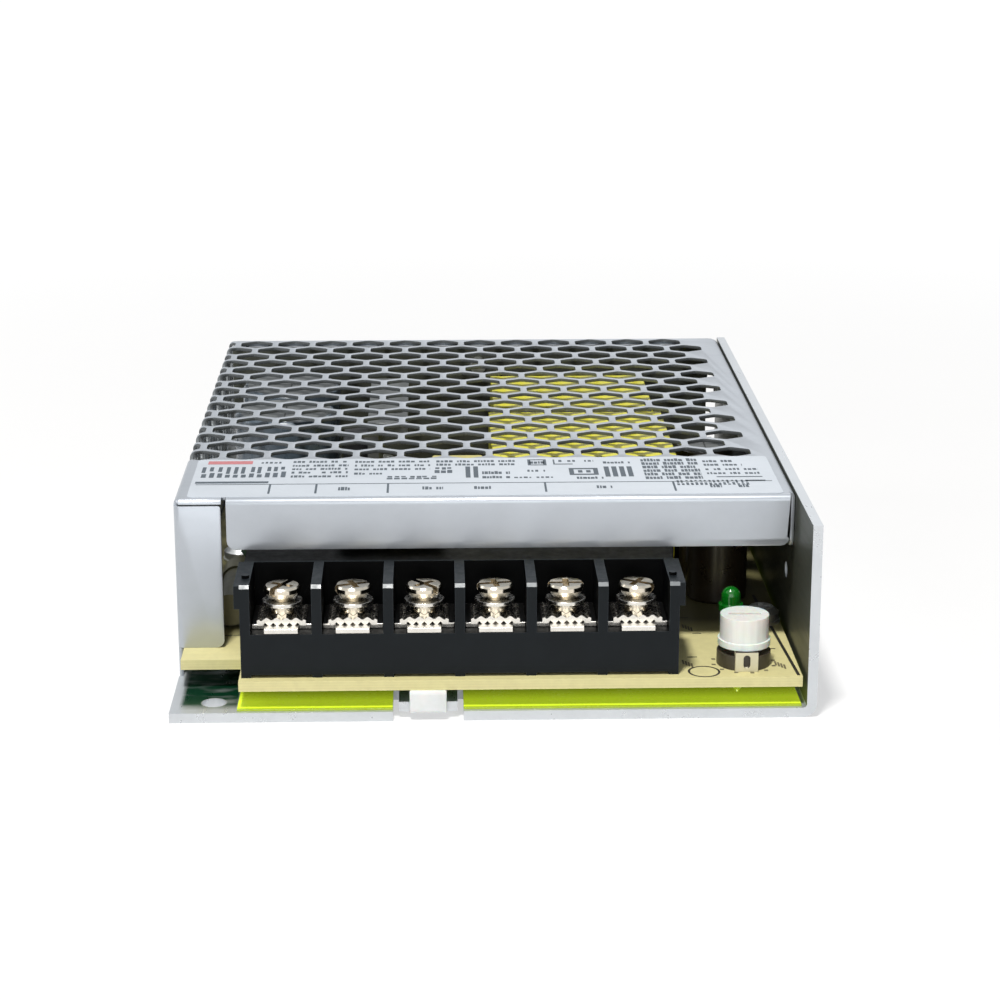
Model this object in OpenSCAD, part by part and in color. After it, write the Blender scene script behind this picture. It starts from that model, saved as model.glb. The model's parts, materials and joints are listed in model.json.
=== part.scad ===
// Mesh case switching power supply: a folded aluminium base, a folded and
// perforated steel cover, a circuit board with its parts, and a six-way screw
// terminal block. Millimetres. Sizes inside the modules are counted from the
// base's front left bottom corner; place() moves them to the middle of the
// bottom.

/* [Base] */
// Width of the case
case_w = 97; // [96:0.5:100]
// Length of the case, front edge to back
case_l = 129; // [128:0.5:140]
// Height of the case
case_h = 30; // [29.5:0.5:36]
// Thickness of the base sheet
base_t = 1.5; // [1.2:0.1:1.8]
// Inside radius of the folds of the base
base_bend = 0.6; // [0.3:0.1:1]

/* [Cover] */
// Distance of the cover's front behind the front edge of the base
cover_setback = 16.4; // [15.5:0.1:17.5]
// Thickness of the cover sheet
cover_t = 0.6; // [0.5:0.1:0.9]
// Inside radius of the folds of the cover
cover_bend = 0.4; // [0.2:0.1:0.6]
// Height of the front lip of the cover
lip_h = 8.1; // [6:0.1:8.5]
// Width of the front flange folded from the left wall of the cover
side_flange_w = 7.2; // [5:0.1:8]
// Height of the flanges at the back and the right of the cover
back_flange_h = 9; // [7:0.5:12]
// Gap where sheets lap each other
lap_gap = 0.1; // [0.05:0.05:0.15]

/* [Honeycomb] */
// Distance between the centres of neighbouring holes
hole_pitch = 7.2; // [6:0.1:8]
// Distance between neighbouring rows of holes
row_pitch = 5.5; // [5:0.1:6.5]
// Width of the metal web between two holes
hole_web = 1.15; // [0.9:0.05:2]
// Centre of the first row of holes, from the front edge of the base
mesh_start = 42.4; // [40:0.1:46]
// Centre of the last column of holes, from the right face of the case
mesh_margin = 8.6; // [7.5:0.1:12]
// Lowest height of a hole centre on the left wall
mesh_floor = 11; // [9.5:0.5:16]

/* [Circuit board] */
// Height of the board over the base sheet
board_lift = 3; // [2.8:0.1:3.6]
// Thickness of the board
board_t = 1.6; // [1.2:0.1:2]
// Thickness of the insulation sheet on the base
sheet_t = 0.3; // [0.2:0.05:0.5]

/* [Terminal block] */
// Distance between the terminals
way_pitch = 10.68; // [10.2:0.02:10.8]
// Thickness of the walls between the terminals
way_wall = 1.5; // [1.2:0.1:1.8]
// Middle of the left end wall, from the left face of the case
block_x = 11.5; // [11:0.1:12.5]
// Front face of the block, from the front edge of the base
block_front = 2.5; // [2:0.1:3.5]
// Depth of the block
block_l = 18.5; // [17.5:0.1:19]
// Height of the block over the board
block_h = 14.5; // [14.1:0.1:14.8]
// Height of the metal plates' seat over the board
seat_h = 6.85; // [6.5:0.05:7]
// Thickness of the metal plates
plate_t = 0.8; // [0.6:0.1:0.9]
// Diameter of the terminal screws
screw_d = 3.4; // [3:0.1:3.6]
// Diameter of the terminal screw heads
head_d = 5.5; // [5:0.1:5.8]
// Height the screws stand backed out from the clamps
screw_lift = 1.2; // [0.2:0.1:1.3]

/* [Fasteners] */
// Diameter of the case and board screws
bolt_d = 3; // [2.5:0.1:3]
// Diameter of the mounting hole at the front left
mount_hole_d = 3.6; // [3.2:0.1:4.5]
// Diameter of the tapped mounting holes
tapped_hole_d = 2.6; // [2.4:0.1:3]

/* [Adjuster and lamp] */
// Diameter of the voltage knob
knob_d = 7.4; // [6.5:0.1:8]
// Height of the voltage knob
knob_h = 4.7; // [4:0.1:6]
// Diameter of the indicator lamp
lamp_d = 3; // [2.8:0.1:3.6]

/* [Hidden] */
ways = 6;
fine = 64;
// Overlap of cutters past the faces they cut
cut = 0.5;
clearance = 0.05;

base_out = base_bend + base_t;
cover_out = cover_bend + cover_t;
wall_in = case_w - base_t;
cover_right = wall_in - lap_gap;
back_in = case_l - cover_t - lap_gap;
floor_left = cover_t + lap_gap;
cover_in_z = case_h - cover_t;

board_z = base_t + board_lift;
top_z = board_z + board_t;
board_left = floor_left + 0.2;
board_right = wall_in - base_bend;
board_front = 1;
board_back = back_in - base_t - 0.7;

seat_z = top_z + seat_h;
plate_z = seat_z + plate_t;
block_top = top_z + block_h;
block_back = block_front + block_l;
screw_y = block_front + 5.5;
function way_x(i) = block_x + (i + 0.5) * way_pitch;

// Clamp, washer and screw head, each counted from the one below
clamp_h = 1.2;
clamp_z = plate_z + clamp_h;
washer_z = clamp_z + screw_lift;
washer_t = 0.6;
head_z = washer_z + washer_t;
head_cone = 1.4;
head_rim = 0.9;

// Greatest height of a part on the board under the cover
room_h = cover_in_z - top_z - 1;

// Tabs of the base behind the cover's left wall, and the cover's screws
tab_w = 14;
tab_top = base_t + 12.5;
tab_y = [32, case_l - 12];
screw_z = base_t + 7;
right_screw_y = [44, case_l - 24];
right_screw_z = case_h - 4.6;
back_screw_x = case_w / 2;
flat_head_d = bolt_d * 1.8;
flat_head_h = 1.3;

// Board screws and their standoffs
bulk_y = [case_l - 48, case_l - 28];
board_holes = [
    [board_right - 3, 27],
    [board_right - 3, case_l - 9],
    [30, case_l - 9],
    [6.4, bulk_y[0] - 19]
];
standoff_d = bolt_d + 2.6;
board_washer_d = bolt_d + 3;

// Mounting holes
front_hole = [6.4, 4.5];
base_holes_x = [17.5, case_w - 17.5];
base_holes_y = [27, case_l - 25];
side_holes_y = [26, case_l - 26];
side_hole_z = case_h / 2;

// Raised tongue at the front of the base
tongue_x = 38.7;
tongue_w = 8.8;
tongue_l = 9;
tongue_rise = 1;
tongue_slot = 0.9;
tongue_y = 1.4;

// Voltage trimmer and lamp
trimmer = [case_w - 10.3, 7.5];
trimmer_d = 8.2;
trimmer_h = 3.05;
knob_z = top_z + trimmer_h + 0.1;
shaft_d = 3;
lamp = [case_w - 11.4, 16];
lamp_z = top_z + 5.7;

// Front lip and side flange of the cover
lip_left = 8;
lip_right = wall_in - 1;
side_flange_z = 6.1;

// Sticker and insulation sheet
label_gap = 2;
label_l = 21.8;
label_t = 0.1;
sheet_left = 10.1;

// Rear wall of the terminal block and the plates' tails behind it
rear_wall_y = block_front + 11.8;
rear_wall_t = 1.7;
tail_w = 4.4;
tail_y = block_back - 3;
clamp_w = 7.3;
// How far each screw's slot is turned
screw_turn = [60, 20, -50, 10, 0, -30];
lamp_leg = 1.27;

// Parts on the board: the left ones are placed in shares of the width, the
// right ones from the right face, and their neighbours from them
unit_x = case_w / 97;
tape_t = 0.3;
transformer_w = 30;
transformer_l = 32;
transformer_h = min(21.6, room_h);
transformer = [case_w - 32.2, case_l / 2];
core_leg = 5;
choke_w = 28;
choke_l = 27;
choke_h = min(21, room_h);
choke = [transformer[0], transformer[1] + (transformer_l + choke_l) / 2 + 2];
// Left and right edges of the transformer
transformer_left = transformer[0] - transformer_w / 2;
transformer_right = transformer[0] + transformer_w / 2;

line_choke = [33 * unit_x, 34];
line_choke_size = [17, 10, min(19, room_h)];
line_choke_leg = 3.5;
line_choke_yoke = 4;
line_choke_coil_r = 3.6;

// Sizes of the two box capacitors, left one first
x_cap_w = [7.5, 8.5];
x_cap_l = 9.5;
x_cap_h = [17, min(20, room_h)];
x_cap_gap = 1;
x_cap_right = transformer_left - 1.8;
x_cap_y = 46.5;

fuse_pos = [7.5 * unit_x, 25];
fuse_r = 2.6;
fuse_l = 20;
fuse_cap = 5;

varistor_pos = [17 * unit_x, 27];
varistor_d = 11;
varistor_t = 4.5;
thermistor_pos = [13 * unit_x, 55];
thermistor_d = 13;
thermistor_t = 5;
y_cap_d = 8;
y_cap_t = 3;
y_cap_x = choke[0] - choke_w / 2 - y_cap_d / 2 - 4.8;
y_cap_y = [choke[1] - 14, choke[1] - 4];

bridge_pos = [22 * unit_x, bulk_y[0] - 24];
bridge_size = [4, 18, 13];

bulk_x = 13.6 * unit_x;
bulk_r = 9;
bulk_h = min(21.6, room_h);
output_cap_r = 5;
output_cap_h = min(20, room_h);
output_cap_x = transformer_right + output_cap_r + 1.2;
output_cap_y = [40, 51, 62];

heatsink_pos = [28.2 * unit_x, case_l - 55];
heatsink_t = 2;
heatsink_l = 34;
heatsink_h = min(21, room_h);
heatsink_top_w = 7;
transistor_y = heatsink_pos[1] + 10;

// Flat three-legged power parts
power_w = 10;
power_h = 13.4;
power_leg_pitch = 2.54;
transistor_t = 4.5;
rectifier_t = 5;
rectifier_y = output_cap_y[2] + 14;
rectifier_leg = 1;
clamp_bar = [1.2, 11, 5];

optocoupler_pos = [transformer_left - 9.8, transformer[1] + 5.5];
optocoupler_size = [4.6, 6.5, 3.4];
resistor_x = transformer_left - 11.4;
resistor_y = [
    transformer[1] - 2.5, transformer[1] + 1.5, choke[1] + 4, choke[1] + 8
];
resistor_r = 1.1;
resistor_l = 6;

module place() {
    translate([-case_w / 2, -case_l / 2, 0]) children();
}

// Section of a folded sheet: leg a along x, leg b along y, fold at the origin
module fold_section(a, b, t, bend) {
    out = bend + t;
    translate([out, 0]) square([a - out, t]);
    translate([0, out]) square([t, b - out]);
    translate([out, out]) intersection() {
        difference() {
            circle(r = out, $fn = fine);
            circle(r = bend, $fn = fine);
        }
        translate([-out, -out]) square(out);
    }
}

// Extrude a section drawn in x-z along y
module along_y(l) {
    translate([0, l, 0]) rotate([90, 0, 0]) linear_extrude(l) children();
}

// Extrude a section drawn in y-z along x
module along_x(l) {
    rotate([90, 0, 90]) linear_extrude(l) children();
}

module base_fold_right() {
    leg = base_out + 2;
    translate([case_w, 0, 0]) mirror([1, 0, 0])
        along_y(case_l) fold_section(leg, case_h, base_t, base_bend);
}

module base_fold_back() {
    leg = base_out + 2;
    w = wall_in - base_out - floor_left;
    wall_h = cover_in_z - cover_bend;
    translate([floor_left, back_in, 0]) mirror([0, 1, 0])
        along_x(w) fold_section(leg, wall_h, base_t, base_bend);
}

module base_tab(y) {
    leg = base_out + 2;
    translate([floor_left, y - tab_w / 2, 0])
        along_y(tab_w) fold_section(leg, tab_top, base_t, base_bend);
}

module base_tongue() {
    run = 2;
    flat_l = tongue_l - run;
    translate([tongue_x - tongue_w / 2, 0, 0]) along_x(tongue_w) polygon([
        [tongue_y, tongue_rise],
        [flat_l, tongue_rise],
        [tongue_l, 0],
        [tongue_l + 0.5, 0],
        [tongue_l + 0.5, base_t],
        [tongue_l, base_t],
        [flat_l, base_t + tongue_rise],
        [tongue_y, base_t + tongue_rise]
    ]);
}

module base_floor() {
    edge = 1.9;
    difference() {
        union() {
            cube([case_w - base_out - 1, cover_setback - lap_gap, base_t]);
            translate([floor_left + edge, 0, 0])
                cube([case_w - base_out - 1 - floor_left - edge, back_in - base_out - 1, base_t]);
            translate([floor_left, cover_setback - cut, 0])
                cube([edge + cut, back_in - cover_setback - base_out + cut, base_t]);
        }
        translate([tongue_x - tongue_w / 2 - tongue_slot, -cut, -cut])
            cube([tongue_w + 2 * tongue_slot, tongue_l + cut, base_t + 2 * cut]);
        for (y = tab_y) {
            translate([0, y - tab_w / 2 - 1, -cut])
                cube([floor_left + edge, tab_w + 2, base_t + 2 * cut]);
        }
    }
}

module countersunk_hole(depth) {
    translate([0, 0, -cut])
        cylinder(d = bolt_d + 2 * clearance, h = depth + 2 * cut, $fn = fine);
    translate([0, 0, -clearance])
        cylinder(d1 = flat_head_d + 4 * clearance, d2 = bolt_d, h = flat_head_h + 2 * clearance, $fn = fine);
}

module chassis() {
    relief_r = base_out;
    color("lightgray") place() difference() {
        union() {
            base_floor();
            base_fold_right();
            base_fold_back();
            for (y = tab_y) base_tab(y);
            base_tongue();
        }
        translate([wall_in - base_bend - 0.5, back_in - 0.5, -cut])
            cylinder(r = relief_r, h = base_out + 1.2, $fn = fine);
        translate([front_hole[0], front_hole[1], -cut])
            cylinder(d = mount_hole_d, h = base_t + 2 * cut, $fn = fine);
        for (x = base_holes_x, y = base_holes_y) {
            translate([x, y, -cut])
                cylinder(d = tapped_hole_d, h = base_t + 2 * cut, $fn = fine);
        }
        for (y = side_holes_y) {
            translate([wall_in - cut, y, side_hole_z]) rotate([0, 90, 0])
                cylinder(d = tapped_hole_d, h = base_t + 2 * cut, $fn = fine);
        }
        for (p = board_holes) {
            translate([p[0], p[1], -cut])
                cylinder(d = bolt_d + 1.2, h = base_t + 2 * cut, $fn = fine);
        }
        for (y = tab_y) {
            translate([0, y, screw_z]) rotate([0, 90, 0])
                countersunk_hole(floor_left + base_t);
        }
        for (y = right_screw_y) {
            translate([case_w, y, right_screw_z]) rotate([0, -90, 0])
                countersunk_hole(base_t);
        }
        translate([back_screw_x, case_l, right_screw_z]) rotate([90, 0, 0])
            countersunk_hole(base_t + cover_t);
    }
}

// Half the width of one honeycomb hole, and half its length over the corners
hole_half = (hole_pitch - hole_web) / 2;
hole_reach = row_pitch * (1 - hole_web / hole_pitch) * 2 / 3;
mesh_rows = floor((case_l - cover_out - hole_reach - mesh_start) / row_pitch) + 1;
first_x = case_w - mesh_margin;
// The flat sheet's length round a fold, at the middle of its thickness
fold_len = (cover_bend + cover_t / 2) * PI / 2;
function row_shift(k) = (k % 2) * hole_pitch / 2;
// Height on the left wall of a point that lies at x on the unfolded top
function wall_height(x) = case_h - cover_out - (cover_out - x - fold_len);

module mesh_hole() {
    polygon([
        [hole_half, hole_reach / 2],
        [0, hole_reach],
        [-hole_half, hole_reach / 2],
        [-hole_half, -hole_reach / 2],
        [0, -hole_reach],
        [hole_half, -hole_reach / 2]
    ]);
}

// Holes of the top sheet, drawn flat
module top_holes() {
    cols = ceil((first_x + hole_pitch / 2) / hole_pitch) + 1;
    for (k = [0 : mesh_rows - 1], j = [0 : cols]) {
        x = first_x - row_shift(k) - j * hole_pitch;
        if (x + hole_half > cover_out) {
            translate([x, mesh_start + k * row_pitch]) mesh_hole();
        }
    }
}

// Holes of the left wall, drawn flat with y across and z up
module wall_holes() {
    cols = ceil((first_x + case_h) / hole_pitch) + 1;
    for (k = [0 : mesh_rows - 1], j = [0 : cols]) {
        x = first_x - row_shift(k) - j * hole_pitch;
        z = wall_height(x);
        if (z - hole_half < case_h - cover_out && z > mesh_floor) {
            translate([mesh_start + k * row_pitch, z]) rotate(90) mesh_hole();
        }
    }
}

module cover_top() {
    translate([0, 0, cover_in_z]) linear_extrude(cover_t) difference() {
        union() {
            translate([cover_out, cover_setback + cover_out])
                square([cover_right - 2 * cover_out, case_l - cover_setback - 2 * cover_out]);
            translate([cover_out, cover_setback])
                square([lip_left - cover_out, cover_out + cut]);
        }
        top_holes();
    }
}

// Fold between the top and the left wall, open where a hole crosses it
module cover_fold_left() {
    difference() {
        translate([0, cover_setback, case_h]) mirror([0, 0, 1])
            along_y(case_l - cover_setback - cover_out)
                fold_section(cover_out + 0.01, cover_out + 0.01, cover_t, cover_bend);
        translate([0, 0, case_h - cover_out]) linear_extrude(cover_out + cut)
            intersection() {
                translate([-cut, 0]) square([cover_out + 2 * cut, case_l]);
                fold_holes();
            }
        translate([-cut, cover_setback - cut, case_h - cover_out - cut])
            cube([2 * cover_out, cover_out + cut, cut + cover_out - cover_t - 0.3 + lap_gap]);
    }
}

// Holes that reach the fold of the left wall
module fold_holes() {
    cols = ceil((first_x + hole_pitch / 2) / hole_pitch) + 1;
    for (k = [0 : mesh_rows - 1], j = [0 : cols]) {
        x = first_x - row_shift(k) - j * hole_pitch;
        if (x - hole_half < cover_out && x + hole_half > 0) {
            translate([x, mesh_start + k * row_pitch]) mesh_hole();
        }
    }
}

module cover_wall_left() {
    wall_z = 0.2;
    rotate([90, 0, 90]) linear_extrude(cover_t) difference() {
        translate([cover_setback + cover_out, wall_z])
            square([case_l - cover_setback - cover_out, case_h - cover_out - wall_z]);
        wall_holes();
        for (y = tab_y) {
            translate([y, screw_z]) circle(d = flat_head_d, $fn = fine);
        }
    }
}

// A folded flange's flat part with its two lower corners rounded
module round_corner_plate(w, h, r) {
    translate([0, r]) square([w, h - r]);
    translate([r, 0]) square([w - 2 * r, r]);
    for (x = [r, w - r]) translate([x, r]) circle(r = r, $fn = fine);
}

module cover_lip() {
    corner = 1.4;
    w = lip_right - lip_left;
    translate([lip_left, cover_setback, case_h]) mirror([0, 0, 1])
        along_x(w) fold_section(cover_out + cut, cover_out + 0.01, cover_t, cover_bend);
    translate([lip_left, cover_setback + cover_t, case_h - lip_h]) rotate([90, 0, 0])
        linear_extrude(cover_t) round_corner_plate(w, lip_h - cover_out, corner);
}

module cover_side_flange() {
    corner = 1.2;
    top = cover_in_z - 0.3;
    h = top - side_flange_z;
    w = side_flange_w;
    translate([0, cover_setback, side_flange_z]) linear_extrude(h)
        fold_section(cover_out + 0.01, cover_out + cut, cover_t, cover_bend);
    translate([cover_out, cover_setback + cover_t, side_flange_z]) rotate([90, 0, 0])
        linear_extrude(cover_t) difference() {
            square([w - cover_out, h]);
            translate([w - cover_out - corner, 0]) difference() {
                square(corner);
                translate([0, corner]) circle(r = corner, $fn = fine);
            }
        }
}

module cover_back_flange() {
    corner = 1.4;
    x0 = cover_out + 0.6;
    w = cover_right - cover_out - 0.6 - x0;
    translate([x0, case_l, case_h]) mirror([0, 0, 1]) mirror([0, 1, 0])
        along_x(w) fold_section(cover_out + cut, cover_out + 0.01, cover_t, cover_bend);
    translate([x0, case_l, case_h - back_flange_h]) rotate([90, 0, 0])
        linear_extrude(cover_t) difference() {
            round_corner_plate(w, back_flange_h - cover_out, corner);
            translate([back_screw_x - x0, right_screw_z - case_h + back_flange_h])
                circle(d = flat_head_d, $fn = fine);
        }
}

module cover_right_flange() {
    corner = 1.4;
    y0 = cover_setback + cover_out + 1;
    l = case_l - cover_out - 0.6 - y0;
    translate([cover_right, y0, case_h]) mirror([1, 0, 0]) mirror([0, 0, 1])
        along_y(l) fold_section(cover_out + cut, cover_out + 0.01, cover_t, cover_bend);
    translate([cover_right - cover_t, y0, case_h - back_flange_h]) rotate([90, 0, 90])
        linear_extrude(cover_t) difference() {
            round_corner_plate(l, back_flange_h - cover_out, corner);
            for (y = right_screw_y) {
                translate([y - y0, right_screw_z - case_h + back_flange_h])
                    circle(d = bolt_d + 2 * clearance, $fn = fine);
            }
        }
}

module cover() {
    relief_r = 0.7;
    color("silver") place() difference() {
        union() {
            cover_top();
            cover_fold_left();
            cover_wall_left();
            cover_lip();
            cover_side_flange();
            cover_back_flange();
            cover_right_flange();
        }
        for (x = [lip_left, lip_right]) {
            translate([x, cover_setback + cover_out, cover_in_z - cut])
                cylinder(r = relief_r, h = cover_t + 2 * cut, $fn = fine);
        }
    }
}

// Thin printed sticker on the front of the top
module label() {
    color("whitesmoke") place()
        translate([label_gap, cover_setback + cover_out, case_h])
            cube([case_w - base_t - 2 * label_gap, label_l, label_t]);
}

module insulation_sheet() {
    color("yellowgreen") place() difference() {
        translate([sheet_left, 0.7, base_t])
            cube([board_right - 0.1 - sheet_left, board_back - 0.7, sheet_t]);
        translate([tongue_x - tongue_w / 2 - tongue_slot, 0, base_t - cut])
            cube([tongue_w + 2 * tongue_slot, tongue_l + 1, sheet_t + 2 * cut]);
        for (p = board_holes) {
            translate([p[0], p[1], base_t - cut])
                cylinder(d = standoff_d + 1.2, h = sheet_t + 2 * cut, $fn = fine);
        }
    }
}

module circuit_board() {
    notch_w = 10.4;
    notch_l = 10.8;
    color("wheat") place() translate([0, 0, board_z]) linear_extrude(board_t)
        difference() {
            translate([board_left, board_front])
                square([board_right - board_left, board_back - board_front]);
            translate([board_left - cut, board_front - cut])
                square([notch_w - board_left + cut, notch_l - board_front + cut]);
            for (y = tab_y) {
                translate([board_left - cut, y - tab_w / 2 - 1])
                    square([floor_left + base_t + bolt_d + 1 - board_left + cut, tab_w + 2]);
            }
            for (p = board_holes) {
                translate(p) circle(d = bolt_d + 0.2, $fn = fine);
            }
            for (i = [0 : ways - 1]) {
                translate([way_x(i) - tail_w / 2 - 0.2, tail_y - 0.1])
                    square([tail_w + 0.4, plate_t + 0.2]);
            }
            for (x = [-lamp_leg, lamp_leg]) {
                translate([lamp[0] + x, lamp[1]]) circle(d = 0.9, $fn = fine);
            }
        }
}

module board_standoffs() {
    color("gainsboro") place() for (p = board_holes) {
        translate([p[0], p[1], 0]) difference() {
            union() {
                translate([0, 0, base_t]) cylinder(d = standoff_d, h = board_lift, $fn = fine);
                cylinder(d = bolt_d + 1, h = base_t, $fn = fine);
            }
            translate([0, 0, -cut])
                cylinder(d = bolt_d + 2 * clearance, h = board_z + 2 * cut, $fn = fine);
        }
    }
}

module cross_recess(d, depth) {
    w = d * 0.2;
    for (a = [0, 90]) {
        rotate(a) translate([-d / 3, -w / 2, -depth]) cube([d * 2 / 3, w, depth + cut]);
    }
}

module board_screws() {
    washer_h = 0.5;
    pan_h = 2;
    reach = board_z - 0.6;
    color("silver") place() for (p = board_holes) {
        translate([p[0], p[1], top_z]) difference() {
            union() {
                cylinder(d = board_washer_d, h = washer_h, $fn = fine);
                translate([0, 0, washer_h]) cylinder(d = bolt_d + 2.6, h = pan_h * 0.6, $fn = fine);
                translate([0, 0, washer_h + pan_h * 0.6])
                    cylinder(d1 = bolt_d + 2.6, d2 = bolt_d + 0.8, h = pan_h * 0.4, $fn = fine);
                translate([0, 0, -reach]) cylinder(d = bolt_d, h = reach + cut, $fn = fine);
            }
            translate([0, 0, washer_h + pan_h]) cross_recess(bolt_d + 1.4, 1.2);
        }
    }
}

// Nylon clip that sits on the base's tongue and carries the board's front edge
module front_support() {
    w = 5.55;
    front_t = tongue_y - 0.2;
    drop = 1.1;
    back = 7;
    color("white") place() translate([tongue_x - w / 2, 0.1, 0]) along_x(w) polygon([
        [0, drop + 0.3],
        [0.3, drop],
        [front_t - 0.1, drop],
        [front_t - 0.1, base_t + tongue_rise],
        [back, base_t + tongue_rise],
        [back, board_z],
        [0.3, board_z],
        [0, board_z - 0.3]
    ]);
}

module flat_head_screw(l) {
    difference() {
        union() {
            cylinder(d1 = flat_head_d, d2 = bolt_d, h = flat_head_h, $fn = fine);
            cylinder(d = bolt_d, h = l, $fn = fine);
        }
        mirror([0, 0, 1]) cross_recess(bolt_d + 1, 0.9);
    }
}

module cover_screws() {
    l = 4.5;
    color("silver") place() {
        for (y = tab_y) {
            translate([0, y, screw_z]) rotate([0, 90, 0]) flat_head_screw(l);
        }
        for (y = right_screw_y) {
            translate([case_w, y, right_screw_z]) rotate([0, -90, 0]) flat_head_screw(l);
        }
        translate([back_screw_x, case_l, right_screw_z]) rotate([90, 0, 0]) flat_head_screw(l);
    }
}

// Section of the terminal block's dividers, y to the right and z up
module divider_section() {
    chamfer = 0.5;
    polygon([
        [block_front, top_z],
        [block_back, top_z],
        [block_back, block_top],
        [block_front + chamfer, block_top],
        [block_front, block_top - chamfer]
    ]);
}

// Ledge on the outside of an end wall, with a small bump on the wall's top
module end_ledge(side) {
    w = 0.8;
    h = 3.6;
    l = 12;
    bump_r = 0.6;
    bump_h = 0.5;
    wall_x = side < 0 ? block_x : block_x + ways * way_pitch;
    face_x = wall_x + side * way_wall / 2;
    translate([min(face_x, face_x + side * w), block_front, block_top - h]) cube([w, l, h]);
    translate([wall_x, block_front + 4, block_top]) cylinder(r = bump_r, h = bump_h, $fn = fine);
}

module terminal_block() {
    foot = 0.5;
    total_w = ways * way_pitch + way_wall;
    x0 = block_x - way_wall / 2;
    roof_t = 1.6;
    well_d = screw_d + 1.2;
    well_l = 5;
    color("darkslategray") place() difference() {
        union() {
            translate([x0, block_front, top_z + foot])
                cube([total_w, rear_wall_y + rear_wall_t - block_front, seat_h - foot]);
            translate([x0, rear_wall_y, seat_z - cut])
                cube([total_w, rear_wall_t, block_top - seat_z + cut]);
            translate([x0, rear_wall_y, block_top - roof_t])
                cube([total_w, block_back - rear_wall_y, roof_t]);
            for (i = [0 : ways]) {
                translate([block_x + i * way_pitch - way_wall / 2, 0, 0])
                    along_x(way_wall) divider_section();
            }
            end_ledge(-1);
            end_ledge(1);
        }
        for (i = [0 : ways - 1]) {
            translate([way_x(i), screw_y, seat_z - well_l])
                cylinder(d = well_d, h = well_l + cut, $fn = fine);
            translate([way_x(i) - tail_w / 2 - 0.1, rear_wall_y - cut, seat_z])
                cube([tail_w + 0.2, rear_wall_t + 2 * cut, plate_t + 0.1]);
        }
    }
}

module terminal_plate(i) {
    tongue = 5.1;
    wide = way_pitch - way_wall - 2 * clearance;
    step = 2.4;
    front = block_front + 0.1;
    color("gainsboro") place() translate([way_x(i), 0, 0]) {
        difference() {
            translate([0, 0, seat_z]) linear_extrude(plate_t) union() {
                translate([-tongue / 2, front]) square([tongue, step + cut]);
                translate([-wide / 2, front + step])
                    square([wide, rear_wall_y - clearance - front - step]);
                translate([-tail_w / 2, front + step])
                    square([tail_w, tail_y + plate_t - front - step]);
            }
            translate([0, screw_y, seat_z - cut])
                cylinder(d = screw_d + 2 * clearance, h = plate_t + 2 * cut, $fn = fine);
        }
        translate([-tail_w / 2, tail_y, board_z - 1.2])
            cube([tail_w, plate_t, plate_z - board_z + 1.2]);
    }
}

// Clamp resting on the plate, with grooves across its underside
module terminal_clamp(i) {
    w = clamp_w / 2;
    teeth = 6;
    tooth = clamp_w / teeth;
    groove_w = 0.9;
    groove_h = 0.45;
    side_h = 0.8;
    slope_w = 0.9;
    grooves = [
        for (k = [1 : teeth - 1], p = [[-1, 0], [0, 1], [1, 0]])
            [-w + k * tooth + p[0] * groove_w / 2, p[1] * groove_h]
    ];
    top = [[w, 0], [w, side_h], [w - slope_w, clamp_h], [slope_w - w, clamp_h], [-w, side_h], [-w, 0]];
    color("lightgray") place() translate([way_x(i), screw_y, plate_z]) difference() {
        translate([0, -clamp_w / 2, 0]) along_y(clamp_w) polygon(concat(grooves, top));
        translate([0, 0, -cut])
            cylinder(d = screw_d + 4 * clearance, h = clamp_h + 2 * cut, $fn = fine);
    }
}

module terminal_washer(i) {
    color("silver") place() translate([way_x(i), screw_y, washer_z]) difference() {
        cylinder(d = head_d + 0.6, h = washer_t, $fn = fine);
        translate([0, 0, -cut])
            cylinder(d = screw_d + 2 * clearance, h = washer_t + 2 * cut, $fn = fine);
    }
}

// Raised screw with a head that widens upwards and a crossed slot
module terminal_screw(i) {
    tip = seat_z - 2.6 - head_z;
    neck_r = screw_d / 2 + 0.1;
    top = head_cone + head_rim;
    edge = 0.3;
    slot_w = 0.9;
    slot_depth = 1.3;
    turn = screw_turn[i];
    color("gainsboro") place() translate([way_x(i), screw_y, head_z]) difference() {
        rotate_extrude($fn = fine) polygon([
            [0, tip],
            [screw_d / 2 - 0.4, tip],
            [screw_d / 2, tip + 0.5],
            [screw_d / 2, 0],
            [neck_r, 0],
            [head_d / 2, head_cone],
            [head_d / 2, top - edge],
            [head_d / 2 - edge, top],
            [0, top]
        ]);
        rotate(turn) {
            translate([-head_d, -slot_w / 2, top - slot_depth])
                cube([2 * head_d, slot_w, slot_depth + cut]);
            translate([-slot_w / 2, -head_d / 3, top - slot_depth])
                cube([slot_w, head_d * 2 / 3, slot_depth + cut]);
        }
    }
}

module trimmer_body() {
    collar_h = 2.2;
    neck_d = trimmer_d - 2.4;
    post_w = 3.45;
    post_l = 2.4;
    post_y = -trimmer_d / 2 - 0.2;
    slot_w = 1;
    slot_z = [1.1, 2.1];
    slot_depth = 0.5;
    color("ivory") place() translate([trimmer[0], trimmer[1], top_z]) difference() {
        union() {
            cylinder(d = trimmer_d, h = collar_h, $fn = fine);
            cylinder(d = neck_d, h = trimmer_h, $fn = fine);
            translate([-post_w / 2, post_y, 0]) cube([post_w, post_l, trimmer_h]);
        }
        translate([0, 0, 0.6])
            cylinder(d = shaft_d + 2 * clearance, h = trimmer_h, $fn = fine);
        for (z = slot_z) {
            translate([0, post_y - cut, z]) rotate([-90, 0, 0])
                cylinder(d = slot_w, h = slot_depth + cut, $fn = fine);
        }
        translate([-slot_w / 2, post_y - cut, slot_z[0]])
            cube([slot_w, slot_depth + cut, slot_z[1] - slot_z[0]]);
    }
}

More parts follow.
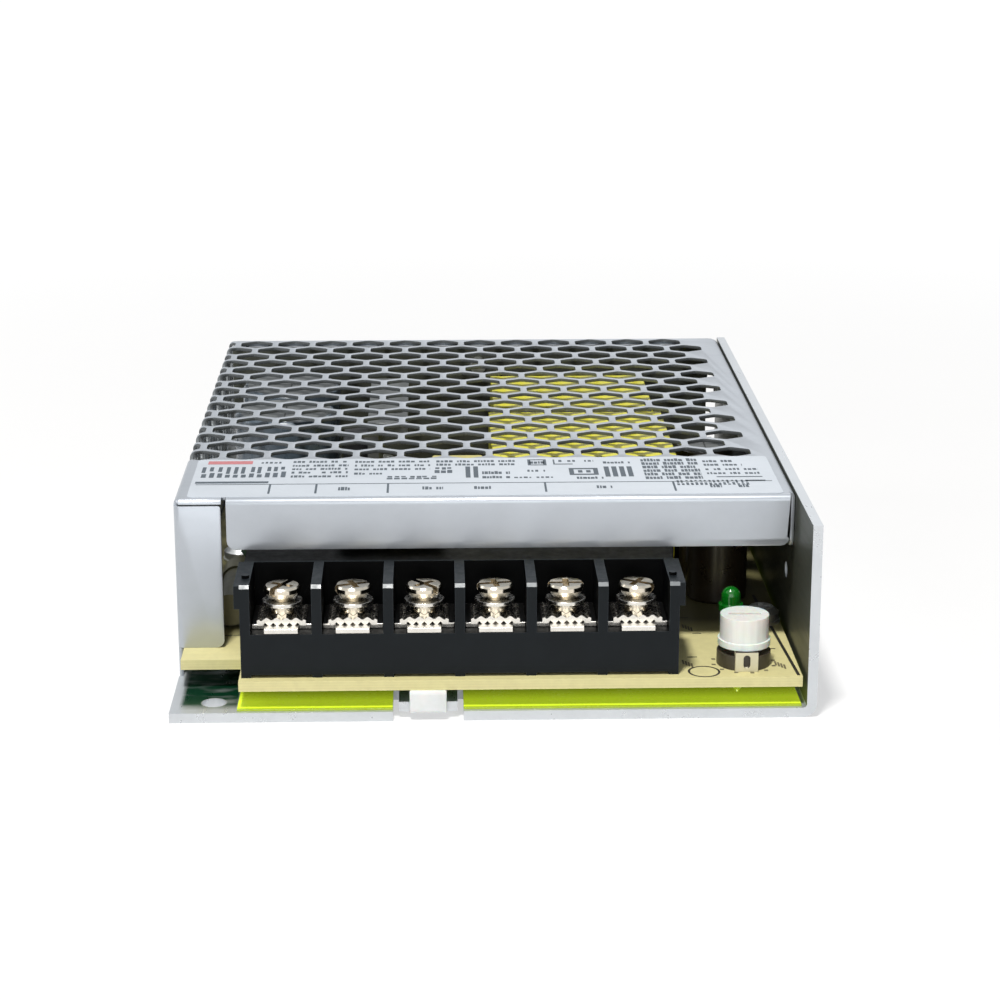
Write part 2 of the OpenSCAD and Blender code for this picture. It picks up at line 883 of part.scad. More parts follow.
module trimmer_knob() {
    rim_h = 1;
    rim_w = 0.3;
    slot_w = 0.8;
    slot_depth = 0.9;
    color("white") place() translate([trimmer[0], trimmer[1], knob_z]) difference() {
        union() {
            cylinder(d = knob_d + 2 * rim_w, h = rim_h, $fn = fine);
            cylinder(d = knob_d, h = knob_h, $fn = fine);
            translate([0, 0, 0.8 - trimmer_h]) cylinder(d = shaft_d, h = trimmer_h, $fn = fine);
        }
        translate([-knob_d / 3, -slot_w / 2, knob_h - slot_depth])
            cube([knob_d * 2 / 3, slot_w, slot_depth + cut]);
    }
}

module indicator_lamp() {
    flange_h = 1;
    body_l = 1.2;
    leg = 0.5;
    color("green") place() translate([lamp[0], lamp[1], lamp_z]) {
        cylinder(d = lamp_d + 0.8, h = flange_h, $fn = fine);
        cylinder(d = lamp_d, h = flange_h + body_l, $fn = fine);
        translate([0, 0, flange_h + body_l]) sphere(d = lamp_d, $fn = fine);
        for (x = [-lamp_leg, lamp_leg]) {
            translate([x - leg / 2, -leg / 2, board_z - 1.3 - lamp_z])
                cube([leg, leg, lamp_z - board_z + 1.3 + 0.1]);
        }
    }
}

// Closed ring of ferrite round a coil, lying flat: outer size w by l
module ring_core(w, l, h, leg) {
    linear_extrude(h) difference() {
        square([w, l], center = true);
        square([w - 2 * leg, l - 2 * leg], center = true);
    }
}

module transformer_core() {
    color("dimgray") place() translate([transformer[0], transformer[1], top_z + 3])
        ring_core(transformer_w, transformer_l, transformer_h - 6, core_leg);
}

module transformer_winding() {
    coil_w = transformer_w - 2 * core_leg - 0.4;
    coil_l = transformer_l - 2 * core_leg - 0.4;
    pin_w = 4;
    color("gold") place() translate([transformer[0], transformer[1], top_z]) {
        translate([0, 0, transformer_h / 2]) cube([coil_w, coil_l, transformer_h - 1], center = true);
        for (x = [-1, 1]) {
            translate([x * (coil_w - pin_w) / 2 - pin_w / 2, -coil_l / 2, 0])
                cube([pin_w, coil_l, 2]);
        }
    }
}

// Band of tape wrapped over the top and the sides of a core
module tape_band(w, l, h, t) {
    translate([-w / 2 - t, l / 2, 0]) rotate([90, 0, 0]) linear_extrude(l) difference() {
        square([w + 2 * t, h + t]);
        translate([t, -cut]) square([w, h + cut]);
    }
}

module transformer_tape() {
    color("yellow") place() translate([transformer[0], transformer[1], top_z + 1])
        tape_band(transformer_w, transformer_l - 2, transformer_h - 1.5, tape_t);
}

module storage_choke_core() {
    color("dimgray") place() translate([choke[0], choke[1], top_z])
        translate([0, 0, choke_h / 2]) cube([choke_w, choke_l, choke_h], center = true);
}

module storage_choke_tape() {
    color("yellow") place() translate([choke[0], choke[1], top_z + 1])
        tape_band(choke_w, choke_l - 3, choke_h - 1, tape_t);
}

// Upright ferrite frame with two windings side by side
module line_choke_core() {
    size = line_choke_size;
    window_h = size[2] - 2 * line_choke_yoke;
    color("dimgray") place() translate([line_choke[0], line_choke[1], top_z]) difference() {
        translate([-size[0] / 2, -size[1] / 2, 0]) cube(size);
        translate([line_choke_leg - size[0] / 2, -size[1] / 2 - cut, line_choke_yoke])
            cube([size[0] - 2 * line_choke_leg, size[1] + 2 * cut, window_h]);
    }
}

module line_choke_winding() {
    r = line_choke_coil_r;
    gap = 0.4;
    coil_l = (line_choke_size[0] - 2 * line_choke_leg) / 2 - gap - 0.2;
    mid_z = line_choke_size[2] / 2;
    flat_z = mid_z - 5.3;
    color("peru") place() translate([line_choke[0], line_choke[1], top_z]) difference() {
        for (x = [-gap - coil_l, gap]) {
            translate([x, 0, mid_z - 5.5]) rotate([0, 90, 0]) cylinder(r = r, h = coil_l, $fn = fine);
        }
        translate([-2 * r, -2 * r, flat_z - 4 * r]) cube([4 * r, 4 * r, 4 * r]);
    }
}

module x_capacitors() {
    left_w = x_cap_w[0];
    right_w = x_cap_w[1];
    right_x = x_cap_right - right_w;
    color("khaki") place() {
        translate([right_x - x_cap_gap - left_w, x_cap_y, top_z]) cube([left_w, x_cap_l, x_cap_h[0]]);
        translate([right_x, x_cap_y, top_z]) cube([right_w, x_cap_l, x_cap_h[1]]);
    }
}

module fuse() {
    lift = 0.6;
    leg = 0.8;
    color("burlywood") place() translate([fuse_pos[0], fuse_pos[1], top_z + fuse_r + lift])
        rotate([-90, 0, 0]) {
            cylinder(r = fuse_r - 0.3, h = fuse_l, $fn = fine);
            cylinder(r = fuse_r, h = fuse_cap, $fn = fine);
            translate([0, 0, fuse_l - fuse_cap]) cylinder(r = fuse_r, h = fuse_cap, $fn = fine);
            for (z = [fuse_cap / 2, fuse_l - fuse_cap / 2]) {
                translate([-leg / 2, 0, z - leg / 2]) cube([leg, fuse_r + lift, leg]);
            }
        }
}

// Round disc standing on its edge, with two legs
module disc_part(d, t) {
    leg = 0.8;
    leg_x = 2.5;
    lift = 1;
    translate([0, t / 2, d / 2 + lift]) rotate([90, 0, 0]) cylinder(d = d, h = t, $fn = fine);
    for (x = [-leg_x, leg_x]) {
        translate([x - leg / 2, -leg / 2, 0]) cube([leg, leg, d / 2]);
    }
}

module surge_varistor() {
    color("royalblue") place() translate([varistor_pos[0], varistor_pos[1], top_z])
        disc_part(varistor_d, varistor_t);
}

module inrush_thermistor() {
    color("darkolivegreen") place() translate([thermistor_pos[0], thermistor_pos[1], top_z])
        disc_part(thermistor_d, thermistor_t);
}

module bridge_rectifier() {
    color("black") place() translate([bridge_pos[0], bridge_pos[1], top_z]) cube(bridge_size);
}

module bulk_capacitor(y) {
    r = bulk_r;
    h = bulk_h;
    groove = 0.5;
    color("slategray") place() translate([bulk_x, y, top_z]) rotate_extrude($fn = fine) polygon([
        [0, 0],
        [r - groove, 0],
        [r, groove],
        [r, 2],
        [r - groove, 2.6],
        [r, 3.2],
        [r, h - groove],
        [r - groove, h],
        [0, h]
    ]);
}

module transistor_heatsink() {
    t = heatsink_t;
    l = heatsink_l;
    h = heatsink_h;
    hole_x = 4.8;
    color("silver") place() translate([heatsink_pos[0], heatsink_pos[1], top_z]) difference() {
        union() {
            cube([t, l, h]);
            translate([0, 0, h - t]) cube([heatsink_top_w, l, t]);
        }
        for (y = [l / 4, l * 3 / 4]) {
            translate([hole_x, y, h - t - cut]) cylinder(d = 3, h = t + 2 * cut, $fn = fine);
        }
    }
}

// Flat three-legged power part: body, legs and a hole for its screw
module power_part(body_t, leg_l) {
    leg = 0.8;
    leg_t = 0.6;
    hole_d = 3.2;
    difference() {
        translate([-power_w / 2, 0, leg_l]) cube([power_w, body_t, power_h]);
        translate([0, -cut, leg_l + power_h - 3]) rotate([-90, 0, 0])
            cylinder(d = hole_d, h = body_t + 2 * cut, $fn = fine);
    }
    for (x = [-power_leg_pitch, 0, power_leg_pitch]) {
        translate([x - leg / 2, body_t / 2 - leg_t / 2, 0]) cube([leg, leg_t, leg_l]);
    }
}

module switch_transistor() {
    color("black") place() translate([heatsink_pos[0], transistor_y, top_z])
        rotate(90) power_part(transistor_t, 3);
}

module output_rectifier() {
    color("black") place() translate([wall_in - rectifier_t, rectifier_y, top_z])
        rotate(-90) power_part(rectifier_t, rectifier_leg);
}

// Spring bar screwed to the wall that presses the rectifier against it
module rectifier_clamp() {
    bar = clamp_bar;
    color("silver") place()
        translate([wall_in - rectifier_t - bar[0], rectifier_y - bar[1] / 2, top_z + 8]) cube(bar);
}

module output_capacitors() {
    r = output_cap_r;
    h = output_cap_h;
    edge = 0.4;
    color("saddlebrown") place() for (y = output_cap_y) {
        translate([output_cap_x, y, top_z]) rotate_extrude($fn = fine) polygon([
            [0, 0],
            [r - edge, 0],
            [r, edge],
            [r, h - edge],
            [r - edge, h],
            [0, h]
        ]);
    }
}

module optocoupler() {
    size = optocoupler_size;
    leg = [0.8, 0.7, 2];
    color("dimgray") place() translate([optocoupler_pos[0], optocoupler_pos[1], top_z]) {
        translate([0, 0, 0.5]) cube(size);
        for (x = [-leg[0], size[0]], y = [1, size[1] - 1.7]) {
            translate([x, y, 0]) cube(leg);
        }
    }
}

module y_capacitors() {
    color("steelblue") place() for (y = y_cap_y) {
        translate([y_cap_x, y, top_z]) disc_part(y_cap_d, y_cap_t);
    }
}

// Resistors lying on the board with their leads bent down
module small_resistors() {
    lift = resistor_r + 0.1;
    lead = 0.6;
    overhang = 0.9;
    color("tan") place() for (y = resistor_y) {
        translate([resistor_x, y, top_z + lift]) {
            rotate([0, 90, 0]) cylinder(r = resistor_r, h = resistor_l, $fn = fine);
            for (x = [-overhang - lead / 2, resistor_l + overhang - lead / 2]) {
                translate([x, -lead / 2, -lift]) cube([lead, lead, lift + lead / 2]);
            }
            translate([-overhang, 0, 0]) rotate([0, 90, 0])
                cylinder(r = lead / 2, h = resistor_l + 2 * overhang, $fn = fine);
        }
    }
}

chassis();
cover();
label();
insulation_sheet();
circuit_board();
board_standoffs();
board_screws();
front_support();
cover_screws();
terminal_block();
terminal_plate(0);  // terminal_plate_1
terminal_plate(1);  // terminal_plate_2
terminal_plate(2);  // terminal_plate_3
terminal_plate(3);  // terminal_plate_4
terminal_plate(4);  // terminal_plate_5
terminal_plate(5);  // terminal_plate_6
terminal_clamp(0);  // terminal_clamp_1
terminal_clamp(1);  // terminal_clamp_2
terminal_clamp(2);  // terminal_clamp_3
terminal_clamp(3);  // terminal_clamp_4
terminal_clamp(4);  // terminal_clamp_5
terminal_clamp(5);  // terminal_clamp_6
terminal_washer(0);  // terminal_washer_1
terminal_washer(1);  // terminal_washer_2
terminal_washer(2);  // terminal_washer_3
terminal_washer(3);  // terminal_washer_4
terminal_washer(4);  // terminal_washer_5
terminal_washer(5);  // terminal_washer_6
terminal_screw(0);  // terminal_screw_1
terminal_screw(1);  // terminal_screw_2
terminal_screw(2);  // terminal_screw_3
terminal_screw(3);  // terminal_screw_4
terminal_screw(4);  // terminal_screw_5
terminal_screw(5);  // terminal_screw_6
trimmer_body();
trimmer_knob();
indicator_lamp();
transformer_core();
transformer_winding();
transformer_tape();
storage_choke_core();
storage_choke_tape();
line_choke_core();
line_choke_winding();
x_capacitors();
fuse();
surge_varistor();
inrush_thermistor();
bridge_rectifier();
bulk_capacitor(bulk_y[0]);  // bulk_capacitor_1
bulk_capacitor(bulk_y[1]);  // bulk_capacitor_2
transistor_heatsink();
switch_transistor();
output_rectifier();
rectifier_clamp();
output_capacitors();
optocoupler();
y_capacitors();
small_resistors();
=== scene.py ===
"""Finishes, print and fine parts of an enclosed power supply with a perforated cover.

Every size in millimetres is counted from the case's front left bottom corner:
x to the right, y to the back, z up.
"""

import sys
import json
import math
import random

import bmesh
import bpy
from mathutils import Vector
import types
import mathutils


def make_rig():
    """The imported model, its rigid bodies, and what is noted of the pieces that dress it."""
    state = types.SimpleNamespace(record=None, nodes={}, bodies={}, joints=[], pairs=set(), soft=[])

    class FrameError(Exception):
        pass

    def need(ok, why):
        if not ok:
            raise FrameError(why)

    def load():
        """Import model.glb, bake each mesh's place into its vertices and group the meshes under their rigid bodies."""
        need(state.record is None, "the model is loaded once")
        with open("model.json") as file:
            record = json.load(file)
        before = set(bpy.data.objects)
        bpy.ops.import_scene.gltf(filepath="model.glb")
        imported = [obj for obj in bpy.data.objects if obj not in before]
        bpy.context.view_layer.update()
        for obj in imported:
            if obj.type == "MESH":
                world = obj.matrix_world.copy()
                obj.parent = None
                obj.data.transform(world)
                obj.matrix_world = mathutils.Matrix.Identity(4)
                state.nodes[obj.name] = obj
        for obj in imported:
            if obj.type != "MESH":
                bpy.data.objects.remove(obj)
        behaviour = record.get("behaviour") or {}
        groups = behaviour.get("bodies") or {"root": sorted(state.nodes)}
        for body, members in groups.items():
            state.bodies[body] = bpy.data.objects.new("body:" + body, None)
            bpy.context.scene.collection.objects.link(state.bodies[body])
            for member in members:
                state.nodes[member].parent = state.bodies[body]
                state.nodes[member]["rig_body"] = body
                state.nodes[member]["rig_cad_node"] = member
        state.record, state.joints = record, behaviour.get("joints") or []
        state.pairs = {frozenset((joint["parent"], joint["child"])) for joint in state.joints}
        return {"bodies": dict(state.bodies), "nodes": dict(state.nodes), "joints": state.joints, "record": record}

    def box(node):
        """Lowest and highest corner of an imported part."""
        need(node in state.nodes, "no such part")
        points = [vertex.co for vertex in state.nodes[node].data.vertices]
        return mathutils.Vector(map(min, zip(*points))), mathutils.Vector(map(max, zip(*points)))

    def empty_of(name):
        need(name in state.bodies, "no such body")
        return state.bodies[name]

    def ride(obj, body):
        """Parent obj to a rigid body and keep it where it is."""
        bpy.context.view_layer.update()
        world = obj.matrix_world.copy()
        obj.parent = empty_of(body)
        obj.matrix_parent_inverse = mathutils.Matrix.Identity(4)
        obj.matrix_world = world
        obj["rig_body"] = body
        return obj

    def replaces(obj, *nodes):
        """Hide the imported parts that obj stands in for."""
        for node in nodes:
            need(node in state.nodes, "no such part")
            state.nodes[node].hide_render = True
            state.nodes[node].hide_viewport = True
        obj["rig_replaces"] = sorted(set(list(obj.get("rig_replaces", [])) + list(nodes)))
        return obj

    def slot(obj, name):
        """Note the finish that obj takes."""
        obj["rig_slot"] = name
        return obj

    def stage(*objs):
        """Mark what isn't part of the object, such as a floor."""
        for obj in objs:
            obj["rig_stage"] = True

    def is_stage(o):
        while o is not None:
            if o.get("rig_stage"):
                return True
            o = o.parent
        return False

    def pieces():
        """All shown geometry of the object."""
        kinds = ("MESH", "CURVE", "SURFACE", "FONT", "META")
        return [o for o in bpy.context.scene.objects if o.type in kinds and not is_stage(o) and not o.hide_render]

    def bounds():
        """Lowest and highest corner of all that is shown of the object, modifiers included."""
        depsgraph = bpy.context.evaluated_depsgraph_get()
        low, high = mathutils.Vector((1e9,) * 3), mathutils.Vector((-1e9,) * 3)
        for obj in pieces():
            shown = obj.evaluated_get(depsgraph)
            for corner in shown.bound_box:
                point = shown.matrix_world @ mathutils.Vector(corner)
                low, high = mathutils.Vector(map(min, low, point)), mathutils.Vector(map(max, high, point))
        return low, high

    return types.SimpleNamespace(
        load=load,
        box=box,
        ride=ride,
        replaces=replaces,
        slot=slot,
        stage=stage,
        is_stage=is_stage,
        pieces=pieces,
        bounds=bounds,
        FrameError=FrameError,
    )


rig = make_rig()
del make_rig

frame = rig.load()
CAD_BOX = [list(corner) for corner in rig.bounds()]
MM = 0.001
CASE_W, CASE_L = [(CAD_BOX[1][i] - CAD_BOX[0][i]) / MM for i in range(2)]
CASE_H = 30.0

bl_info = {
    "name": "Mesh Case Power Supply",
    "version": (1, 0, 0),
    "blender": (4, 5, 0),
    "location": "View3D > Sidebar > Power Supply",
    "description": "Dresses the solids of an enclosed power supply with finishes and fine parts",
    "category": "Object",
}

SIZES_FILE = "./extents.json"
WAYS = 6
BOARD_TOP = 6.1
BOARD_BOTTOM = 4.5
TRIMMER_XY = (86.7, 7.5)
LAMP_XY = (85.6, 16.0)
FRONT_HOLE = (6.4, 4.5)
LEG_SPREAD = 1.27
INK_LIFT = 0.012
SHARP_ANGLE = 32

# Stage: camera in millimetres and degrees, floor shade in metres from the middle
CAMERA_PLACE = (-8.49, -414.23, 135.28)
CAMERA_TURN = (73.9, 0, -1.542)
SHADE_NEAR, SHADE_FAR = 0.07, 0.40

# Cover: sheet, its folds and its flanges
COVER_T = 0.6
COVER_BEND = 0.4
COVER_FRONT = 16.4
COVER_RIGHT = 95.4
COVER_OUT = COVER_BEND + COVER_T
FOLD_LEN = (COVER_BEND + COVER_T / 2) * math.pi / 2
LIP_LEFT = 8.0
LIP_RIGHT = 94.5
LIP_H = 8.1
SIDE_FLANGE_W = 7.2
SIDE_FLANGE_Z = 6.1
BACK_FLANGE_H = 9.0
WALL_GAP = 0.2
RELIEF = 0.6
SQUARE, CUT_CORNER, FLANGE_CORNER = 0.0, 0.3, 1.4
COVER_SCREW_Z = 8.5
COVER_SCREW_Y = (32.0, CASE_L - 12.0)
BACK_SCREW_Z = 25.4
SCREW_HEAD_D = 5.4

# Honeycomb of the cover, laid out on the unfolded sheet
HOLE_PITCH = 7.2
ROW_PITCH = 5.5
HOLE_WEB = 1.15
HOLE_CORNER = 0.95
FIRST_ROW_Y = 42.4
LAST_COLUMN_X = CASE_W - 8.6
MESH_FLOOR = 11.0


# ---- placing

def at(x, y, z):
    """A point of the frame in metres, from millimetres of the case."""
    low = CAD_BOX[0]
    return Vector((low[0] + x * MM, low[1] + y * MM, low[2] + z * MM))


def node_box(node):
    """Lowest and highest corner of a node in millimetres of the case."""
    low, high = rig.box(node)
    origin = Vector(CAD_BOX[0])
    return (low - origin) / MM, (high - origin) / MM


def new_mesh(draft, name):
    """Mesh made from a draft, which is then done with."""
    mesh = bpy.data.meshes.new(name)
    draft.to_mesh(mesh)
    draft.free()
    return mesh


def new_object(name, data):
    """Object in the scene from its mesh, curve, lamp or camera."""
    made = bpy.data.objects.new(name, data)
    bpy.context.scene.collection.objects.link(made)
    return made


def set_down(draft, name, body, slot, finishes, replaces=(), smooth=SHARP_ANGLE):
    """Turn a draft in case millimetres into a piece that rides on a body."""
    for vert in draft.verts:
        vert.co = at(*vert.co)
    return seat(new_mesh(draft, name), name, body, slot, finishes, replaces, smooth)


def seat(mesh, name, body, slot, finishes, replaces=(), smooth=SHARP_ANGLE):
    """Place a finished mesh as a piece with its body, slot and finishes."""
    piece = new_object(name, mesh)
    for finish in finishes:
        mesh.materials.append(finish_of(finish))
    mesh.shade_smooth()
    mesh.set_sharp_from_angle(angle=math.radians(smooth))
    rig.ride(piece, body)
    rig.slot(piece, slot)
    if replaces:
        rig.replaces(piece, *replaces)
    return piece


def draft_of(node):
    """Editable copy of a node's mesh, with its faces joined at their corners."""
    draft = bmesh.new()
    draft.from_mesh(frame["nodes"][node].data)
    bmesh.ops.remove_doubles(draft, verts=draft.verts, dist=2e-6)
    return draft


def stand_in(draft, node, slot, finishes, smooth=SHARP_ANGLE):
    """Make a draft the piece that replaces a node and rides on the node's body."""
    mesh = new_mesh(draft, node + "_dressed")
    for name in ("custom_normal", "sharp_face"):
        if name in mesh.attributes:
            mesh.attributes.remove(mesh.attributes[name])
    body = frame["nodes"][node]["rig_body"]
    return seat(mesh, node + "_dressed", body, slot, finishes, (node,), smooth)


def dress(node, slot, width, segments=2, finishes=(), which=None):
    """Stand a copy of a node with broken edges and a finish in for the plain solid.

    The finish is the slot's own unless others are named. which(middle in
    millimetres, normal) tells the number of a face's finish among them.
    """
    draft = draft_of(node)
    bmesh.ops.dissolve_limit(
        draft, angle_limit=math.radians(0.5), verts=draft.verts, edges=draft.edges
    )
    if which:
        draft.normal_update()
        for face in draft.faces:
            middle = (face.calc_center_median() - Vector(CAD_BOX[0])) / MM
            face.material_index = int(which(middle, face.normal))
    piece = stand_in(draft, node, slot, finishes or (slot,))
    edge = piece.modifiers.new("edge_break", "BEVEL")
    edge.width = width * MM
    edge.segments = segments
    edge.limit_method = "ANGLE"
    edge.angle_limit = math.radians(SHARP_ANGLE)
    edge.use_clamp_overlap = True
    edge.harden_normals = True
    edge.miter_outer = "MITER_ARC"


# ---- shapes

def ring_of(draft, centre, radius, z, steps):
    """Add a level ring of corners."""
    x, y = centre[:2]
    turns = [2 * math.pi * step / steps for step in range(steps)]
    return [
        draft.verts.new((x + radius * math.cos(turn), y + radius * math.sin(turn), z))
        for turn in turns
    ]


def add_turned(draft, centre, profile, steps=48):
    """Add an upright turned part from its profile of (radius, height) points."""
    rings = []
    for radius, height in profile:
        if radius < 1e-6:
            rings.append([draft.verts.new((centre[0], centre[1], centre[2] + height))])
        else:
            rings.append(ring_of(draft, centre, radius, centre[2] + height, steps))
    for low, high in zip(rings, rings[1:]):
        for step in range(steps):
            after = (step + 1) % steps
            if len(low) == 1:
                corners = [low[0], high[after], high[step]]
            elif len(high) == 1:
                corners = [low[step], low[after], high[0]]
            else:
                corners = [low[step], low[after], high[after], high[step]]
            draft.faces.new(corners)


def add_plate(draft, outline, low, high):
    """Add a flat plate from its outline of (x, y) points between two heights."""
    bottom = [draft.verts.new((x, y, low)) for x, y in outline]
    top = [draft.verts.new((x, y, high)) for x, y in outline]
    draft.faces.new(list(reversed(bottom)))
    draft.faces.new(top)
    count = len(outline)
    for i in range(count):
        j = (i + 1) % count
        draft.faces.new([bottom[i], bottom[j], top[j], top[i]])


def add_print(draft, x0, y0, x1, y1, z, paint=0):
    """Add one flat field of ink."""
    add_patch(draft, [(x0, y0), (x1, y0), (x1, y1), (x0, y1)], z, paint)


def add_patch(draft, corners, z, paint=0):
    """Add one flat face from its (x, y) corners."""
    face = draft.faces.new([draft.verts.new((x, y, z)) for x, y in corners])
    face.material_index = paint


def add_ring_print(draft, centre, outer, width, z, paint=0, steps=48):
    """Add a printed ring."""
    inside = ring_of(draft, centre, outer - width, z, steps)
    outside = ring_of(draft, centre, outer, z, steps)
    for step in range(steps):
        after = (step + 1) % steps
        corners = [inside[step], outside[step], outside[after], inside[after]]
        draft.faces.new(corners).material_index = paint


def cut_across(draft, place, normal, nearness):
    """Cut every face across a plane, so that the sheet can bend there."""
    bmesh.ops.bisect_plane(
        draft, geom=draft.verts[:] + draft.edges[:] + draft.faces[:], dist=nearness,
        plane_co=place, plane_no=normal
    )


# ---- finishes

def add_node(tree, kind, **settings):
    """Add a shader node; a setting's name is that of an input or a property."""
    made = tree.nodes.new(kind)
    for key, value in settings.items():
        socket = key.replace("_", " ")
        if socket in made.inputs:
            made.inputs[socket].default_value = value
        else:
            setattr(made, key, value)
    return made


class Finish:
    """Node graph of one finish, built step by step on a Principled shader."""

    def __init__(self, name, colour, roughness, metallic=0.0):
        self.material = bpy.data.materials.new(name)
        self.material.use_nodes = True
        self.tree = self.material.node_tree
        self.shader = self.tree.nodes["Principled BSDF"]
        self.shader.inputs["Base Color"].default_value = (*colour, 1)
        self.shader.inputs["Roughness"].default_value = roughness
        self.shader.inputs["Metallic"].default_value = metallic
        self.material.diffuse_color = (*colour, 1)
        self.colour = colour
        self.height = None
        self.place = self.node("ShaderNodeTexCoord").outputs["Object"]

    def node(self, kind, **settings):
        return add_node(self.tree, kind, **settings)

    def link(self, source, target):
        self.tree.links.new(source, target)

    def noise(self, scale, detail=3.0, rough=0.55, stretch=(1, 1, 1)):
        mapping = self.node("ShaderNodeMapping", Scale=stretch)
        self.link(self.place, mapping.inputs["Vector"])
        made = self.node("ShaderNodeTexNoise", Scale=scale, Detail=detail, Roughness=rough)
        self.link(mapping.outputs["Vector"], made.inputs["Vector"])
        return made.outputs["Fac"]

    def spread(self, source, start, end, low=0.0, high=1.0):
        """Turn a value that runs from start to end into one from low to high."""
        made = self.node("ShaderNodeMapRange", From_Min=start, From_Max=end, To_Min=low,
                         To_Max=high)
        self.link(source, made.inputs["Value"])
        return made.outputs["Result"]

    def ramp(self, source, stops):
        """Turn a value into colours or greys; stops are (place, colour or grey)."""
        made = self.node("ShaderNodeValToRGB")
        elements = made.color_ramp.elements
        while len(elements) > 1:
            elements.remove(elements[-1])
        for number, (position, colour) in enumerate(stops):
            shade = colour if isinstance(colour, tuple) else (colour,) * 3
            element = elements.new(position) if number else elements[0]
            element.position, element.color = position, (*shade, 1)
        self.link(source, made.inputs["Fac"])
        return made.outputs["Color"]

    def current_colour(self):
        """Socket that the colour comes from."""
        links = self.shader.inputs["Base Color"].links
        return links[0].from_socket if links else None

    def mix_in(self, mask, colour):
        """Lay a second colour over what is there, where the mask is light."""
        made = self.node("ShaderNodeMix", data_type="RGBA")
        self.link(mask, made.inputs["Factor"])
        self.link(self.current_colour(), made.inputs["A"])
        made.inputs["B"].default_value = (*colour, 1)
        self.link(made.outputs["Result"], self.shader.inputs["Base Color"])
        return self

    def along(self, axis, start, end):
        """Mask that grows from 0 to 1 between two places on an axis, in case millimetres."""
        split = self.node("ShaderNodeSeparateXYZ")
        self.link(self.place, split.inputs["Vector"])
        number = "XYZ".index(axis)
        ends = [at(place, place, place)[number] for place in (start, end)]
        return self.spread(split.outputs[axis], *ends)

    def product(self, masks):
        mask = masks[0]
        for other in masks[1:]:
            both = self.node("ShaderNodeMath", operation="MULTIPLY")
            self.link(mask, both.inputs[0])
            self.link(other, both.inputs[1])
            mask = both.outputs[0]
        return mask

    def mottle(self, scale, amount, stretch=(1, 1, 1), detail=4.0):
        """Vary the colour lighter and darker over a distance."""
        fac = self.noise(scale, detail, 0.6, stretch)
        dark = tuple(max(0.0, c * (1 - amount)) for c in self.colour)
        light = tuple(min(1.0, c * (1 + amount)) for c in self.colour)
        self.link(self.ramp(fac, [(0.3, dark), (0.7, light)]), self.shader.inputs["Base Color"])

    def gloss(self, scale, low, high, stretch=(1, 1, 1)):
        """Vary the roughness between two values."""
        uneven = self.spread(self.noise(scale, 3.0, 0.6, stretch), 0.3, 0.7, low, high)
        self.link(uneven, self.shader.inputs["Roughness"])

    def relief(self, source, depth, strength=0.5):
        """Add a bump of some depth in millimetres over what is there."""
        made = self.node("ShaderNodeBump", Strength=strength, Distance=depth * MM)
        self.link(source, made.inputs["Height"])
        if self.height:
            self.link(self.height, made.inputs["Normal"])
        self.height = made.outputs["Normal"]
        self.link(self.height, self.shader.inputs["Normal"])

    def grain(self, scale, depth, strength=0.5, stretch=(1, 1, 1)):
        """Fine uneven surface."""
        self.relief(self.noise(scale, 4.0, 0.6, stretch), depth, strength)

    def waves(self, scale, depth, direction="X", distortion=0.0, strength=0.6):
        """Even ridges, as of wound wire, tape or woven glass."""
        made = self.node("ShaderNodeTexWave", bands_direction=direction, Scale=scale,
                         Distortion=distortion)
        self.link(self.place, made.inputs["Vector"])
        self.relief(made.outputs["Fac"], depth, strength)

    def edge_wear(self, colour, amount=0.5, radius=0.25):
        """Painted highlight: lighter rims where a sheet or moulding turns sharply."""
        bevel = self.node("ShaderNodeBevel", samples=4, Radius=radius * MM)
        geometry = self.node("ShaderNodeNewGeometry")
        dot = self.node("ShaderNodeVectorMath", operation="DOT_PRODUCT")
        self.link(bevel.outputs["Normal"], dot.inputs[0])
        self.link(geometry.outputs["Normal"], dot.inputs[1])
        self.mix_in(self.spread(dot.outputs["Value"], 1.0, 0.8, 0.0, amount), colour)

    def set(self, **values):
        """Set sockets of the shader that are the same all over."""
        for key, value in values.items():
            self.shader.inputs[key.replace("_", " ")].default_value = value
        return self


def look():
    return bpy.context.scene.supply_look


def colour_of(colour):
    """A colour, or the colour of the setting that is named."""
    return tuple(getattr(look(), colour)) if isinstance(colour, str) else colour


def sheet_metal(name, colour, roughness=0.36, lay=(1, 1, 1)):
    """Mill-finished sheet: faint rolling lines, cloudy patches, fine scratches."""
    finish = Finish(name, colour_of(colour), roughness, 0.62)
    finish.mottle(160, 0.035, (1, 1, 1), 5)
    finish.gloss(500, roughness - 0.04, roughness + 0.06, lay)
    finish.grain(1800, 0.002, 0.12, lay)
    return finish


def moulded(name, colour, roughness, grain, mottle=(220, 0.08), **shader):
    """Injection-moulded plastic with a fine spark-eroded grain."""
    finish = Finish(name, colour_of(colour), roughness)
    finish.mottle(*mottle)
    finish.gloss(900, roughness - 0.06, roughness + 0.08)
    finish.grain(3800, grain, 0.5)
    return finish.set(**shader)


# Sheet finishes: (colour or setting, roughness, direction of rolling)
SHEETS = {
    "cover_metal": ("cover_colour", 0.34, (0.2, 1, 1)),
    # Dark metal of painted shade, for the walls' inner faces and the clamp deep inside the case
    "inner_metal": ((0.10, 0.105, 0.085), 0.42, (1, 0.06, 1)),
    "heatsink_metal": ((0.20, 0.21, 0.21), 0.42, (1, 1, 0.05)),
}

# Plastic finishes: (colour or setting, roughness, depth of the grain)
MOULDINGS = {
    # Lighter chamfers at the front of the block's rims: painted highlight
    "block_rim": ((0.09, 0.105, 0.115), 0.34, 0.01),
    "trimmer_plastic": ((0.66, 0.62, 0.44), 0.42, 0.006),
    "trimmer_dark": ((0.05, 0.042, 0.028), 0.4, 0.01),
    "capacitor_box": ((0.62, 0.55, 0.20), 0.38, 0.012),
    "grey_epoxy": ((0.35, 0.35, 0.33), 0.45, 0.01),
}

